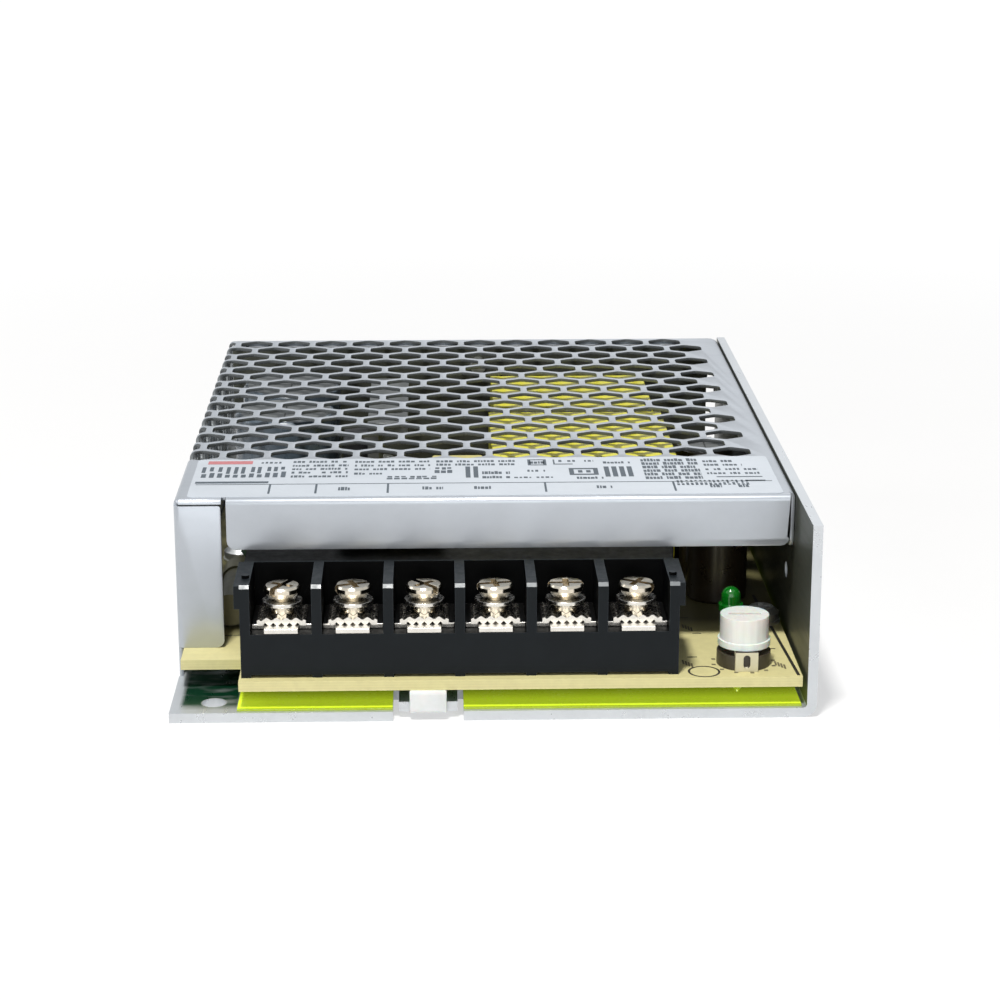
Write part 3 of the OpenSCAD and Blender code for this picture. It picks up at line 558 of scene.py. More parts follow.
# Other finishes: (colour or setting, roughness, metallic, scale and amount of the mottle,
# scale and limits of the gloss, scale, depth and strength of the grain, other sockets)
COATS = {
    "label_film": (
        "label_colour", 0.34, 0.25, (90, 0.035), (400, 0.28, 0.42), (2600, 0.006, 0.3)),
    "label_ink": ((0.055, 0.075, 0.095), 0.5, 0, (2500, 0.25), None, (4000, 0.004, 0.3)),
    "label_red": ((0.50, 0.17, 0.18), 0.5, 0, (1800, 0.12), None, (4000, 0.004, 0.3)),
    "board_ink": ((0.022, 0.020, 0.014), 0.55, 0, (3000, 0.3), None, (5000, 0.004, 0.4)),
    "board_ink_soft": ((0.16, 0.14, 0.075), 0.55, 0, (3000, 0.35), None, (5000, 0.004, 0.4)),
    "solder": (
        (0.72, 0.72, 0.70), 0.25, 1, (900, 0.1), (1200, 0.15, 0.4), (1100, 0.03, 0.4)),
    "plated_steel": (
        (0.66, 0.67, 0.66), 0.25, 1, (700, 0.08), (1500, 0.34, 0.46), (900, 0.003, 0.2)),
    "terminal_metal": (
        (0.78, 0.75, 0.69), 0.24, 1, (900, 0.07), (1600, 0.16, 0.34), (900, 0.006, 0.3)),
    "screw_metal": (
        (0.74, 0.67, 0.55), 0.16, 1, (1200, 0.08), (1800, 0.10, 0.24), (800, 0.008, 0.35)),
    "lamp_plastic": (
        "lamp_colour", 0.16, 0, (500, 0.12), (900, 0.1, 0.22), (1800, 0.003, 0.3),
        dict(Transmission_Weight=0.35, IOR=1.5, Coat_Weight=0.4, Coat_Roughness=0.08)),
    "ferrite": (
        (0.055, 0.058, 0.062), 0.45, 0.1, (2200, 0.35), (1400, 0.35, 0.6), (2600, 0.02, 0.5)),
    "yellow_tape": (
        "tape_colour", 0.32, 0, (140, 0.07), (380, 0.24, 0.42), (120, 0.12, 0.3, (1, 0.3, 1)),
        dict(Coat_Weight=0.35, Coat_Roughness=0.2)),
    "fuse_body": ((0.24, 0.22, 0.12), 0.4, 0, (700, 0.12), None, (2500, 0.01, 0.4)),
    "varistor_coat": ((0.10, 0.095, 0.04), 0.4, 0, (500, 0.15), None, (500, 0.05, 0.4)),
    "thermistor_coat": ((0.045, 0.075, 0.05), 0.4, 0, (500, 0.2), None, (600, 0.05, 0.45)),
    "black_epoxy": (
        (0.018, 0.018, 0.019), 0.42, 0, (1400, 0.3), (900, 0.34, 0.52), (2600, 0.012, 0.5)),
    "bulk_sleeve": (
        (0.09, 0.12, 0.15), 0.3, 0, (260, 0.08), (420, 0.22, 0.38), (700, 0.01, 0.3),
        dict(Coat_Weight=0.3, Coat_Roughness=0.15)),
    "output_sleeve": (
        (0.022, 0.016, 0.009), 0.34, 0, (260, 0.1), (420, 0.25, 0.4), (700, 0.01, 0.3),
        dict(Coat_Weight=0.25, Coat_Roughness=0.18)),
    "y_capacitor_coat": ((0.06, 0.20, 0.42), 0.34, 0, (500, 0.15), None, (520, 0.05, 0.4)),
    "resistor_coat": ((0.50, 0.34, 0.17), 0.45, 0, (800, 0.12), None, (900, 0.03, 0.4)),
}


def coat(name, colour, roughness, metallic, mottle, gloss, grain, shader=None):
    """Mottled, unevenly glossy and grained finish of the table above."""
    finish = Finish(name, colour_of(colour), roughness, metallic)
    finish.mottle(*mottle)
    if gloss:
        finish.gloss(*gloss)
    finish.grain(*grain)
    return finish.set(**(shader or {}))


def make_base_metal():
    """Bare sheet, with a painted reflection of the board's green underside in dark green at the corner at the front
    left.
    """
    finish = sheet_metal("base_metal", "base_colour", 0.30, (1, 0.2, 1))
    from_hole = finish.node("ShaderNodeVectorMath", operation="DISTANCE")
    finish.link(finish.place, from_hole.inputs[0])
    from_hole.inputs[1].default_value = at(*FRONT_HOLE, 1.5)
    patches = finish.ramp(finish.noise(190, 2, 0.5, (1, 3, 1)), [(0.3, 0.55), (0.5, 1.0)])
    # Painted reflection: dark green laid on the floor's top at the front left corner, outside the hole.
    mask = finish.product([
        finish.along("X", 10.4, 9.8), finish.along("X", 1.2, 1.9), finish.along("Y", 1.4, 4.0),
        finish.along("Z", 1.6, 1.52), finish.along("Z", 1.42, 1.48),
        finish.spread(from_hole.outputs["Value"], 1.85 * MM, 2.05 * MM), patches,
    ])
    return finish.mix_in(mask, (0.004, 0.06, 0.026))


# Dark walls of the punched holes: painted shade.
def make_cut_edge():
    finish = sheet_metal("cut_edge", (0.13, 0.14, 0.145), 0.5)
    finish.grain(2600, 0.02, 0.5, (1, 1, 0.1))
    return finish


def make_insulation_film():
    """Clear tinted film, with a painted highlight behind its front edge, painted shade fading in under the board, and
    a glow of its own colour that stands in for light under the board.
    """
    finish = Finish("insulation_film", colour_of("film_colour"), 0.28)
    finish.mottle(120, 0.05)
    # Painted light: a bright band from just behind the front edge.
    finish.mix_in(finish.along("Y", 0.95, 1.4), (0.72, 0.92, 0.035))
    # Painted shade: darker deeper under the board.
    finish.mix_in(finish.along("Y", 4.0, 10.5), (0.10, 0.14, 0.004))
    # The colour also glows (emission 0.4), standing in for light under the board.
    finish.link(finish.current_colour(), finish.shader.inputs["Emission Color"])
    finish.gloss(500, 0.2, 0.4)
    finish.grain(420, 0.02, 0.1, (1, 0.1, 1))
    return finish.set(IOR=1.5, Coat_Weight=0.2, Coat_Roughness=0.25, Emission_Strength=0.4)


def make_board():
    """Paper laminate: layers on its edges, a weave, a green underside, painted shade at the back."""
    finish = Finish("board", colour_of("board_colour"), 0.5)
    finish.mottle(650, 0.05)
    split = finish.node("ShaderNodeSeparateXYZ")
    finish.link(finish.place, split.inputs["Vector"])
    height = finish.spread(split.outputs["Z"], BOARD_BOTTOM * MM, BOARD_TOP * MM)
    layers = finish.ramp(height, [
        (0.0, 0.9), (0.12, 0.25), (0.3, 0.0), (0.42, 0.35), (0.5, 0.05), (0.66, 0.3),
        (0.84, 0.1), (0.95, 0.5), (0.985, 0.0),
    ])
    finish.mix_in(layers, tuple(min(1.0, c * 1.25) for c in finish.colour))
    # Painted shade: darker from 22 mm back, where the lip of the cover shades the board.
    finish.mix_in(finish.along("Y", 22, 28), (0.11, 0.10, 0.04))
    finish.mix_in(finish.ramp(height, [(0.0, 1.0), (0.012, 0.0)]), (0.006, 0.085, 0.03))
    finish.waves(900, 0.006, strength=0.25)
    finish.grain(1500, 0.01, 0.3)
    return finish


def make_white_nylon():
    return moulded("white_nylon", (0.78, 0.80, 0.80), 0.38, 0.008,
                   Subsurface_Weight=0.15, Subsurface_Scale=0.002)


def make_block_plastic():
    """Terminal block, with painted shade beyond its front half, where the case's shade falls."""
    finish = moulded("block_plastic", "block_colour", 0.36, 0.01)
    # Painted highlight on the block's sharp edges.
    finish.edge_wear((0.06, 0.075, 0.085), 0.5, 0.18)
    # Painted shade: near black from 15 mm back.
    finish.mix_in(finish.along("Y", 14.6, 15.0), (0.0012, 0.0014, 0.0016))
    return finish.set(IOR=1.45, Specular_IOR_Level=0.16)


# Near black: painted shade in the wells of the terminal block.
def make_block_shade():
    return moulded("block_shade", (0.0012, 0.0014, 0.0016), 0.4, 0.01,
                   IOR=1.4, Specular_IOR_Level=0.08)


def make_terminal_shade():
    """Plate metal, bright at its front tab and dark as painted shade in the well behind it."""
    finish = Finish("terminal_shade", (0.78, 0.75, 0.69), 0.35, 1.0)
    finish.mottle(900, 0.07)
    # Painted shade from 4.5 mm back.
    finish.mix_in(finish.along("Y", 4.5, 5.2), (0.07, 0.07, 0.07))
    finish.grain(900, 0.004, 0.2)
    return finish


def make_knob_plastic():
    return moulded("knob_plastic", "knob_colour", 0.33, 0.008, (1500, 0.06, (1, 1, 0.06)),
                   Subsurface_Weight=0.35, Subsurface_Scale=0.003)


def make_winding_tape():
    finish = Finish("winding_tape", (0.66, 0.56, 0.08), 0.4)
    finish.mottle(260, 0.1)
    finish.waves(190, 0.05, "Z", 0.6, 0.5)
    finish.gloss(500, 0.3, 0.5)
    return finish.set(Coat_Weight=0.3, Coat_Roughness=0.25)


def make_copper_wire():
    finish = Finish("copper_wire", (0.55, 0.24, 0.10), 0.3, 1.0)
    finish.mottle(800, 0.15)
    finish.waves(420, 0.12, "X", 0.3, 0.9)
    return finish


OWN_MAKERS = {
    key[5:]: maker for key, maker in list(globals().items()) if key.startswith("make_")
}
TABLES = ((sheet_metal, SHEETS), (moulded, MOULDINGS), (coat, COATS))
FINISHES = {}


def new_finish(name):
    """Make the finish of a name, with its own maker or from a table."""
    if name in OWN_MAKERS:
        return OWN_MAKERS[name]()
    for maker, table in TABLES:
        if name in table:
            return maker(name, *table[name])
    raise KeyError(name)


def finish_of(name):
    """The material of a finish, made when it is first asked for."""
    if name not in FINISHES:
        FINISHES[name] = new_finish(name).material
    return FINISHES[name]


# ---- settings

def colour_setting(name, description, default):
    return bpy.props.FloatVectorProperty(
        name=name, description=description, subtype="COLOR", size=3, min=0, max=1, default=default
    )


def edge_setting(name, description, default, low, high):
    return bpy.props.FloatProperty(
        name=name, description=description, default=default * MM, min=low * MM, max=high * MM,
        subtype="DISTANCE", unit="LENGTH", precision=5
    )


def level_setting(name, description, default, low, high, subtype):
    return bpy.props.FloatProperty(
        name=name, description=description, default=default, min=low, max=high, subtype=subtype
    )


class SupplyLook(bpy.types.PropertyGroup):
    """Sizes and colours a user would change."""

    base_colour: colour_setting("Base", "Colour of the folded base", (0.62, 0.645, 0.67))
    cover_colour: colour_setting("Cover", "Colour of the perforated cover", (0.47, 0.50, 0.54))
    label_colour: colour_setting(
        "Label", "Ground colour of the printed sticker", (0.60, 0.645, 0.70))
    film_colour: colour_setting("Film", "Colour of the insulation film", (0.30, 0.39, 0.014))
    board_colour: colour_setting("Board", "Colour of the circuit board", (0.66, 0.605, 0.30))
    block_colour: colour_setting("Block", "Colour of the terminal block", (0.008, 0.0105, 0.0125))
    knob_colour: colour_setting("Knob", "Colour of the voltage knob", (0.80, 0.81, 0.77))
    lamp_colour: colour_setting("Lamp", "Colour of the lamp", (0.004, 0.20, 0.012))
    tape_colour: colour_setting(
        "Tape", "Colour of the tape round the transformers", (0.80, 0.74, 0.03))
    sheet_edge: edge_setting("Sheet edge", "Rounding of the sheets' cut edges", 0.06, 0.02, 0.4)
    moulding_edge: edge_setting(
        "Moulding edge", "Rounding of the moulded parts' edges", 0.22, 0.05, 0.5)
    lens: level_setting("Lens", "Focal length of the camera", 89.83, 30, 200, "DISTANCE_CAMERA")
    key_power: level_setting("Key light", "Power of the main lamp", 9.0, 0, 100, "POWER")
    room_light: level_setting(
        "Room light", "Strength of the light from all around", 0.12, 0, 2, "FACTOR")


# ---- pieces

def dress_all(*parts):
    """Dress nodes that need no more: rows of (node, slot, edge width, segments)."""
    for node, slot, width, *segments in parts:
        dress(node, slot, width, *segments)
    return {"FINISHED"}


class SUPPLY_OT_base(bpy.types.Operator):
    """Folded base: floor, right wall and back wall"""

    bl_idname = "supply.base"
    bl_label = "Base"

    @staticmethod
    def faces_inside(middle, normal):
        """The walls' inner faces, which get the dark metal of painted shade where the case's own shade falls."""
        right = normal.x < -0.9 and middle.x > CASE_W - 3
        back = normal.y < -0.9 and middle.y > CASE_L - 3
        return right or back

    def execute(self, context):
        dress("chassis", "base_metal", look().sheet_edge / MM,
              finishes=("base_metal", "inner_metal"), which=self.faces_inside)
        return {"FINISHED"}


def round_corners(points, radius, steps=4):
    """Outline with every corner rounded; radius is one value or one per corner."""
    outline = []
    count = len(points)
    for i, point in enumerate(points):
        corner = Vector(point)
        size = radius[i] if isinstance(radius, (list, tuple)) else radius
        if size <= 0:
            outline.append(tuple(corner))
            continue
        before = (Vector(points[i - 1]) - corner).normalized()
        after = (Vector(points[(i + 1) % count]) - corner).normalized()
        half = before.angle(after) / 2
        reach = size / math.tan(half)
        centre = corner + (before + after).normalized() * (size / math.sin(half))
        start = corner + before * reach - centre
        turn = (corner + after * reach - centre).angle_signed(start)
        for step in range(steps + 1):
            way = turn * step / steps
            outline.append((
                centre.x + start.x * math.cos(way) - start.y * math.sin(way),
                centre.y + start.x * math.sin(way) + start.y * math.cos(way),
            ))
    return outline


def circle_outline(x, y, diameter, steps=32):
    return [
        (x + diameter / 2 * math.cos(2 * math.pi * i / steps),
         y + diameter / 2 * math.sin(2 * math.pi * i / steps)) for i in range(steps)
    ]


def add_sheet(outlines, thickness, edge):
    """Mesh of a flat sheet with broken edges: its outer outline, then those of its holes."""
    curve = bpy.data.curves.new("blank", "CURVE")
    curve.dimensions = "2D"
    curve.fill_mode = "BOTH"
    curve.extrude = thickness / 2 - edge
    curve.bevel_depth = edge
    curve.bevel_resolution = 1
    curve.offset = -edge
    for outline in outlines:
        spline = curve.splines.new("POLY")
        spline.points.add(len(outline) - 1)
        for place, (x, y) in zip(spline.points, outline):
            place.co = (x, y, 0, 1)
        spline.use_cyclic_u = True
    blank = new_object("blank", curve)
    filled = blank.evaluated_get(bpy.context.evaluated_depsgraph_get())
    mesh = bpy.data.meshes.new_from_object(filled)
    bpy.data.objects.remove(blank)
    bpy.data.curves.remove(curve)
    draft = bmesh.new()
    draft.from_mesh(mesh)
    bpy.data.meshes.remove(mesh)
    bmesh.ops.remove_doubles(draft, verts=draft.verts, dist=0.002)
    return draft


def bend(flat, height, start, radius):
    """Where a point of a flat sheet goes when the sheet folds down past start."""
    past = flat - start
    if past <= 0:
        return flat, height
    length = radius * math.pi / 2
    turn = min(past / radius, math.pi / 2)
    drop = max(0.0, past - length)
    reach = radius + height
    return start + reach * math.sin(turn), reach * math.cos(turn) - radius - drop


class SUPPLY_OT_cover(bpy.types.Operator):
    """Cover: one punched sheet, folded at the left, front, back and right"""

    bl_idname = "supply.cover"
    bl_label = "Cover"

    @staticmethod
    def down_left(z):
        """Where a height on the left wall lies on the unfolded sheet."""
        return COVER_OUT - FOLD_LEN - (CASE_H - COVER_OUT - z)

    def blank_outline(self):
        """Outer edge of the unfolded sheet, counter-clockwise, with corner radii."""
        low_left, flange_low = self.down_left(WALL_GAP), self.down_left(SIDE_FLANGE_Z)
        flange_high = COVER_OUT - FOLD_LEN - 0.1
        fold_front, fold_back = COVER_FRONT + COVER_OUT, CASE_L - COVER_OUT
        fold_right = COVER_RIGHT - COVER_OUT
        flange_end = fold_front - FOLD_LEN - (SIDE_FLANGE_W - COVER_OUT)
        lip_end = fold_front - FOLD_LEN - (LIP_H - COVER_OUT)
        lip_slot = LIP_LEFT - 0.7
        back_end = fold_back + FOLD_LEN + BACK_FLANGE_H - COVER_OUT
        right_end = fold_right + FOLD_LEN + BACK_FLANGE_H - COVER_OUT
        corners = [
            (low_left, fold_front + 0.1, CUT_CORNER), (flange_low, fold_front + 0.1, SQUARE),
            (flange_low, flange_end, 1.2), (flange_high, flange_end, 0.4),
            (flange_high, fold_front, SQUARE), (COVER_OUT * 0.4, fold_front, 0.2),
            (COVER_OUT * 0.4, COVER_FRONT, CUT_CORNER), (lip_slot, COVER_FRONT, SQUARE),
            (lip_slot, fold_front + 0.5, CUT_CORNER), (LIP_LEFT, fold_front + 0.5, 0.2),
            (LIP_LEFT, lip_end, FLANGE_CORNER), (LIP_RIGHT, lip_end, FLANGE_CORNER),
            (LIP_RIGHT, fold_front + 0.5, 0.2), (fold_right, fold_front + 0.5, SQUARE),
            (fold_right, fold_front + 1.0, SQUARE), (right_end, fold_front + 1.0, FLANGE_CORNER),
            (right_end, fold_back - RELIEF, FLANGE_CORNER),
            (fold_right, fold_back - RELIEF, SQUARE), (fold_right, fold_back, SQUARE),
            (fold_right - RELIEF, fold_back, SQUARE),
            (fold_right - RELIEF, back_end, FLANGE_CORNER),
            (COVER_OUT + RELIEF, back_end, FLANGE_CORNER),
            (COVER_OUT + RELIEF, fold_back, SQUARE), (low_left, fold_back, CUT_CORNER),
        ]
        return round_corners([corner[:2] for corner in corners], [corner[2] for corner in corners])

    def holes(self):
        """Honeycomb holes and screw holes on the unfolded sheet."""
        half = (HOLE_PITCH - HOLE_WEB) / 2
        reach = ROW_PITCH * (1 - HOLE_WEB / HOLE_PITCH) * 2 / 3
        shape = [(half, -reach / 2), (half, reach / 2), (0, reach), (-half, reach / 2),
                 (-half, -reach / 2), (0, -reach)]
        hexagon = list(reversed(round_corners(shape, HOLE_CORNER)))
        rows = int((CASE_L - COVER_OUT - reach - FIRST_ROW_Y) / ROW_PITCH) + 1
        holes = []
        for row in range(rows):
            x = LAST_COLUMN_X - (row % 2) * HOLE_PITCH / 2
            y = FIRST_ROW_Y + row * ROW_PITCH
            while x > self.down_left(MESH_FLOOR):
                holes.append([(x + px, y + py) for px, py in hexagon])
                x -= HOLE_PITCH
        back_y = CASE_L - COVER_OUT + FOLD_LEN + (CASE_H - COVER_OUT - BACK_SCREW_Z)
        spots = [(self.down_left(COVER_SCREW_Z), y) for y in COVER_SCREW_Y]
        for x, y in [*spots, (CASE_W / 2, back_y)]:
            holes.append(list(reversed(circle_outline(x, y, SCREW_HEAD_D))))
        return holes

    def fold(self, draft):
        """Cut the sheet across its folds and bend it down on all four sides."""
        radius = COVER_BEND + COVER_T / 2
        front, back = COVER_FRONT + COVER_OUT, CASE_L - COVER_OUT
        left, right = COVER_OUT, COVER_RIGHT - COVER_OUT
        steps = 7
        for start, side, axis in ((left, -1, 0), (right, 1, 0), (front, -1, 1), (back, 1, 1)):
            normal = (1, 0, 0) if axis == 0 else (0, 1, 0)
            for step in range(steps + 1):
                place = [0, 0, 0]
                place[axis] = start + side * FOLD_LEN * step / steps
                cut_across(draft, place, normal, 1e-5)
        for vert in draft.verts:
            x, y, height = vert.co
            if y < front:
                far, height = bend(-y, height, -front, radius)
                y = -far
            elif y > back:
                y, height = bend(y, height, back, radius)
            if x < left:
                far, height = bend(-x, height, -left, radius)
                x = -far
            elif x > right:
                x, height = bend(x, height, right, radius)
            vert.co = (x, y, CASE_H - COVER_T / 2 + height)

    def execute(self, context):
        edge = look().sheet_edge / MM
        draft = add_sheet([self.blank_outline(), *self.holes()], COVER_T, edge)
        draft.normal_update()
        # Walls of the punched holes take the dark metal of painted shade.
        for face in draft.faces:
            x, y, height = face.calc_center_median()
            punched = FIRST_ROW_Y - 4 < y < CASE_L - COVER_OUT and -24 < x < LAST_COLUMN_X + 4
            face.material_index = 1 if punched and abs(face.normal.z) < 0.5 else 0
        self.fold(draft)
        set_down(draft, "folded_cover", "case", "cover_metal", ("cover_metal", "cut_edge"),
                 ("cover",), 28)
        return {"FINISHED"}


class SUPPLY_OT_label(bpy.types.Operator):
    """Sticker on the front of the cover with plain generic print"""

    bl_idname = "supply.label"
    bl_label = "Label"

    def execute(self, context):
        low, high = node_box("label")
        draft = bmesh.new()
        corners = [(low.x, low.y), (high.x, low.y), (high.x, high.y), (low.x, high.y)]
        add_plate(draft, round_corners(corners, 0.8), low.z, high.z - 0.02)
        set_down(draft, "label_sheet", "case", "label_film", ("label_film",), ("label",))
        self.print_fields(high.z - 0.008)
        return {"FINISHED"}

    def print_fields(self, z):
        """Rows of dashes, ruled boxes and bars in place of any wording."""
        chance = random.Random(7)
        draft = bmesh.new()

        def field(x0, y0, x1, y1, ink=0):
            add_print(draft, x0, y0, x1, y1, z, ink)

        def rows(x0, x1, height, *places, fill=0.7, gap=0.28):
            """Groups of strokes at some places in y, as fine print looks from far off."""
            for y in places:
                x = x0
                while x < x1:
                    end = min(x + chance.uniform(1.2, 3.2), x1)
                    while x < end:
                        stroke = chance.uniform(0.28, 0.62)
                        rise = height * chance.uniform(0.75, 1.0)
                        if chance.random() < fill + 0.2:
                            field(x, y, min(x + stroke, x1), y + rise)
                        x += stroke + gap
                    x += 0.55

        def frame_box(x0, y0, x1, y1, line):
            field(x0, y0, x1, y0 + line)
            field(x0, y1 - line, x1, y1)
            field(x0, y0 + line, x0 + line, y1 - line)
            field(x1 - line, y0 + line, x1, y1 - line)

        def bars(x0, x1, y0, y1, wide, gap):
            x = x0
            while x + wide <= x1:
                field(x, y0, x + wide, y1)
                x += wide + gap

        def marks(x0, x1, y0, y1, wide, gap):
            """Blocks of uneven height in two tiers, as bold print looks from far off."""
            x = x0
            while x < x1:
                rise = (y1 - y0) * chance.uniform(0.25, 0.55)
                shift = wide * chance.uniform(-0.25, 0.25)
                field(x, y0, x + wide, y0 + rise)
                field(x + shift, y0 + rise * 1.35, x + shift + wide * 0.8, y1)
                x += wide + gap

        field(3.7, 36.3, 10.8, 38.2, ink=1)
        marks(3.2, 16.2, 28.4, 34.6, 0.75, 0.5)
        rows(12.2, 16.2, 1.1, 36.6)
        rows(17.3, 26.2, 1.25, 36.9, 34.6, 32.6, 30.5, 28.2, fill=0.75, gap=0.16)
        rows(27.2, 39.2, 1.25, 36.7, 34.4, 32.2, fill=0.75, gap=0.16)
        rows(27.2, 31.6, 1.2, 29.6, fill=0.75, gap=0.16)
        marks(32.4, 39.4, 26.7, 28.6, 0.9, 0.25)
        rows(40.2, 53.4, 1.3, 36.6, 34.6, fill=0.78, gap=0.16)
        marks(39.9, 42.4, 30.2, 33.6, 0.8, 0.2)
        bars(44.8, 46.9, 27.4, 34.0, 0.75, 0.5)
        rows(47.4, 51.8, 1.7, 29.4, fill=0.9, gap=0.1)
        rows(47.4, 51.8, 1.5, 26.9, fill=0.9, gap=0.1)
        rows(52.4, 58.6, 0.9, 26.9)
        frame_box(54.8, 34.4, 57.8, 38.0, 0.5)
        rows(55.1, 57.5, 1.5, 35.4, fill=0.8, gap=0.12)
        rows(54.6, 57.4, 1.3, 30.6)
        field(58.9, 34.8, 62.0, 35.3)
        field(58.9, 35.3, 59.15, 37.8)
        rows(59.8, 65.4, 1.2, 36.4)
        frame_box(61.2, 28.5, 65.8, 32.6, 0.75)
        bars(62.6, 64.8, 29.9, 31.3, 0.7, 0.6)
        rows(62.2, 66.4, 1.3, 26.2, fill=0.9, gap=0.12)
        bars(66.8, 71.6, 27.4, 33.4, 0.8, 0.42)
        rows(66.9, 71.2, 1.3, 35.2, fill=0.8, gap=0.14)
        rows(73.0, 82.0, 1.75, 36.3, 34.2, 32.1, 30.0, 27.9, 25.8, fill=0.85, gap=0.12)
        rows(82.9, 89.0, 1.3, 35.6, 33.4, fill=0.75, gap=0.14)
        rows(82.9, 91.2, 1.2, 30.8, 28.4, fill=0.7, gap=0.2)
        field(84.2, 26.6, 91.4, 27.1)
        marks(77.6, 88.4, 22.2, 25.0, 0.42, 0.3)
        field(88.6, 24.3, 91.6, 25.0)
        line_y = 24.2
        field(2.6, line_y + 0.8, 14.0, line_y + 1.9)
        field(2.8, line_y, 92.6, line_y + 0.32)
        for x in (14.2, 21.4, 32.5, 56.9, 76.9):
            field(x, 19.0, x + 0.34, line_y)
        rows(25.0, 26.8, 2.0, 20.6, fill=0.9, gap=0.1)
        for x, wide in ((38.0, 3.2), (46.0, 2.6), (65.0, 2.4), (82.6, 1.8), (87.0, 1.6)):
            rows(x, x + wide, 1.7, 20.8, fill=0.8, gap=0.14)
        set_down(draft, "label_print", "case", "label_film", ("label_ink", "label_red"))


class SUPPLY_OT_film(bpy.types.Operator):
    """Insulation film between the base and the board"""

    bl_idname = "supply.film"
    bl_label = "Insulation film"

    def execute(self, context):
        return dress_all(("insulation_sheet", "insulation_film", 0.05, 1))


class SUPPLY_OT_board(bpy.types.Operator):
    """Circuit board with its print and solder joints"""

    bl_idname = "supply.board"
    bl_label = "Circuit board"

    # Fields of dark print: (x, y, x, y) of two corners
    lines = (
        (78.4, 9.9, 79.9, 10.3), (91.0, 13.4, 92.4, 13.75), (80.3, 21.0, 81.7, 21.3),
        (78.4, 28.6, 80.4, 28.9), (31.0, 45.2, 48.4, 45.4), (31.0, 57.2, 48.4, 57.4),
        (36.4, 60.0, 47.0, 60.2), (36.4, 108.0, 47.0, 108.2), (49.0, 44.0, 49.2, 110.6),
        (4.6, 22.0, 9.8, 22.2), (21.0, 24.0, 21.2, 46.0), (79.0, 36.0, 79.2, 66.0),
        (36.4, 76.0, 40.8, 76.2),
    )

    def execute(self, context):
        dress("circuit_board", "board", 0.06, 1)
        self.print_board(BOARD_TOP + INK_LIFT)
        self.solder_joints()
        return {"FINISHED"}

    def print_board(self, z):
        """Outlines and marks printed on the board."""
        dark, soft = 0, 1
        draft = bmesh.new()
        add_ring_print(draft, (80.3, 3.6), 2.45, 0.34, z, dark)
        add_patch(draft, [(94.1, 1.6), (94.6, 1.6), (92.5, 40.0), (92.0, 40.0)], z, dark)
        for corners in self.lines:
            add_print(draft, *corners, z, dark)
        for left, low in ((77.4, 6.9), (91.4, 6.0), (79.0, 23.6)):
            for i in range(4):
                x, y = left + 0.4 * i, low - 0.5 * i
                add_print(draft, x, y, x + 0.3, y + 1.9, z, soft)
        dial, half = 4.7, 0.3
        for mark in range(12):
            turn = math.radians(30 * mark + 10)
            x, y = TRIMMER_XY[0] + dial * math.cos(turn), TRIMMER_XY[1] + dial * math.sin(turn)
            add_print(draft, x - half, y - half, x + half, y + half, z, soft)
        set_down(draft, "board_print", "case", "board", ("board_ink", "board_ink_soft"))

    def solder_joints(self):
        """Solder cones under the board near its front edge."""
        draft = bmesh.new()
        cone = [(1.15, 0.0), (1.05, -0.12), (0.66, -0.42), (0.4, -0.8), (0.28, -1.05), (0.0, -1.1)]
        legs = [(85.2, 2.4), (84.0, 9.4), (89.4, 9.4)]
        legs += [(LAMP_XY[0] + side * LEG_SPREAD, LAMP_XY[1]) for side in (-1, 1)]
        for x, y in legs:
            add_turned(draft, (x, y, BOARD_BOTTOM - INK_LIFT), cone, 24)
        bmesh.ops.recalc_face_normals(draft, faces=draft.faces)
        set_down(draft, "solder_cones", "case", "plated_steel", ("solder",))


class SUPPLY_OT_fasteners(bpy.types.Operator):
    """Standoffs, board screws, front clip and cover screws"""

    bl_idname = "supply.fasteners"
    bl_label = "Fasteners"

    def execute(self, context):
        return dress_all(
            ("board_standoffs", "plated_steel", 0.1), ("board_screws", "plated_steel", 0.12),
            ("cover_screws", "plated_steel", 0.06), ("front_support", "white_nylon", 0.25, 3),
        )


class SUPPLY_OT_block(bpy.types.Operator):
    """Moulded body of the terminal block"""

    bl_idname = "supply.block"
    bl_label = "Terminal block"

    def execute(self, context):
        low, high = node_box("terminal_block")
        # rim: chamfers with a painted highlight; shaded: wells with painted shade
        plain, shaded, rim = 0, 1, 2

        def part(middle, normal):
            """Chamfers of the rims at the front, lighter as painted highlight; the wells' walls, dark as painted
            shade; and the rest.
            """
            if normal.z > 0.4 and normal.y < -0.4 and middle.z > 14:
                return rim
            deep = (middle.y > low.y + 1.2 and middle.z > 12
                    and low.x + 1 < middle.x < high.x - 1)
            facing_up = normal.z > 0.7 and middle.z > high.z - 0.7
            return shaded if deep and not facing_up and normal.y < 0.5 else plain

        dress("terminal_block", "block_plastic", look().moulding_edge / MM,
              finishes=("block_plastic", "block_shade", "block_rim"), which=part)
        return {"FINISHED"}


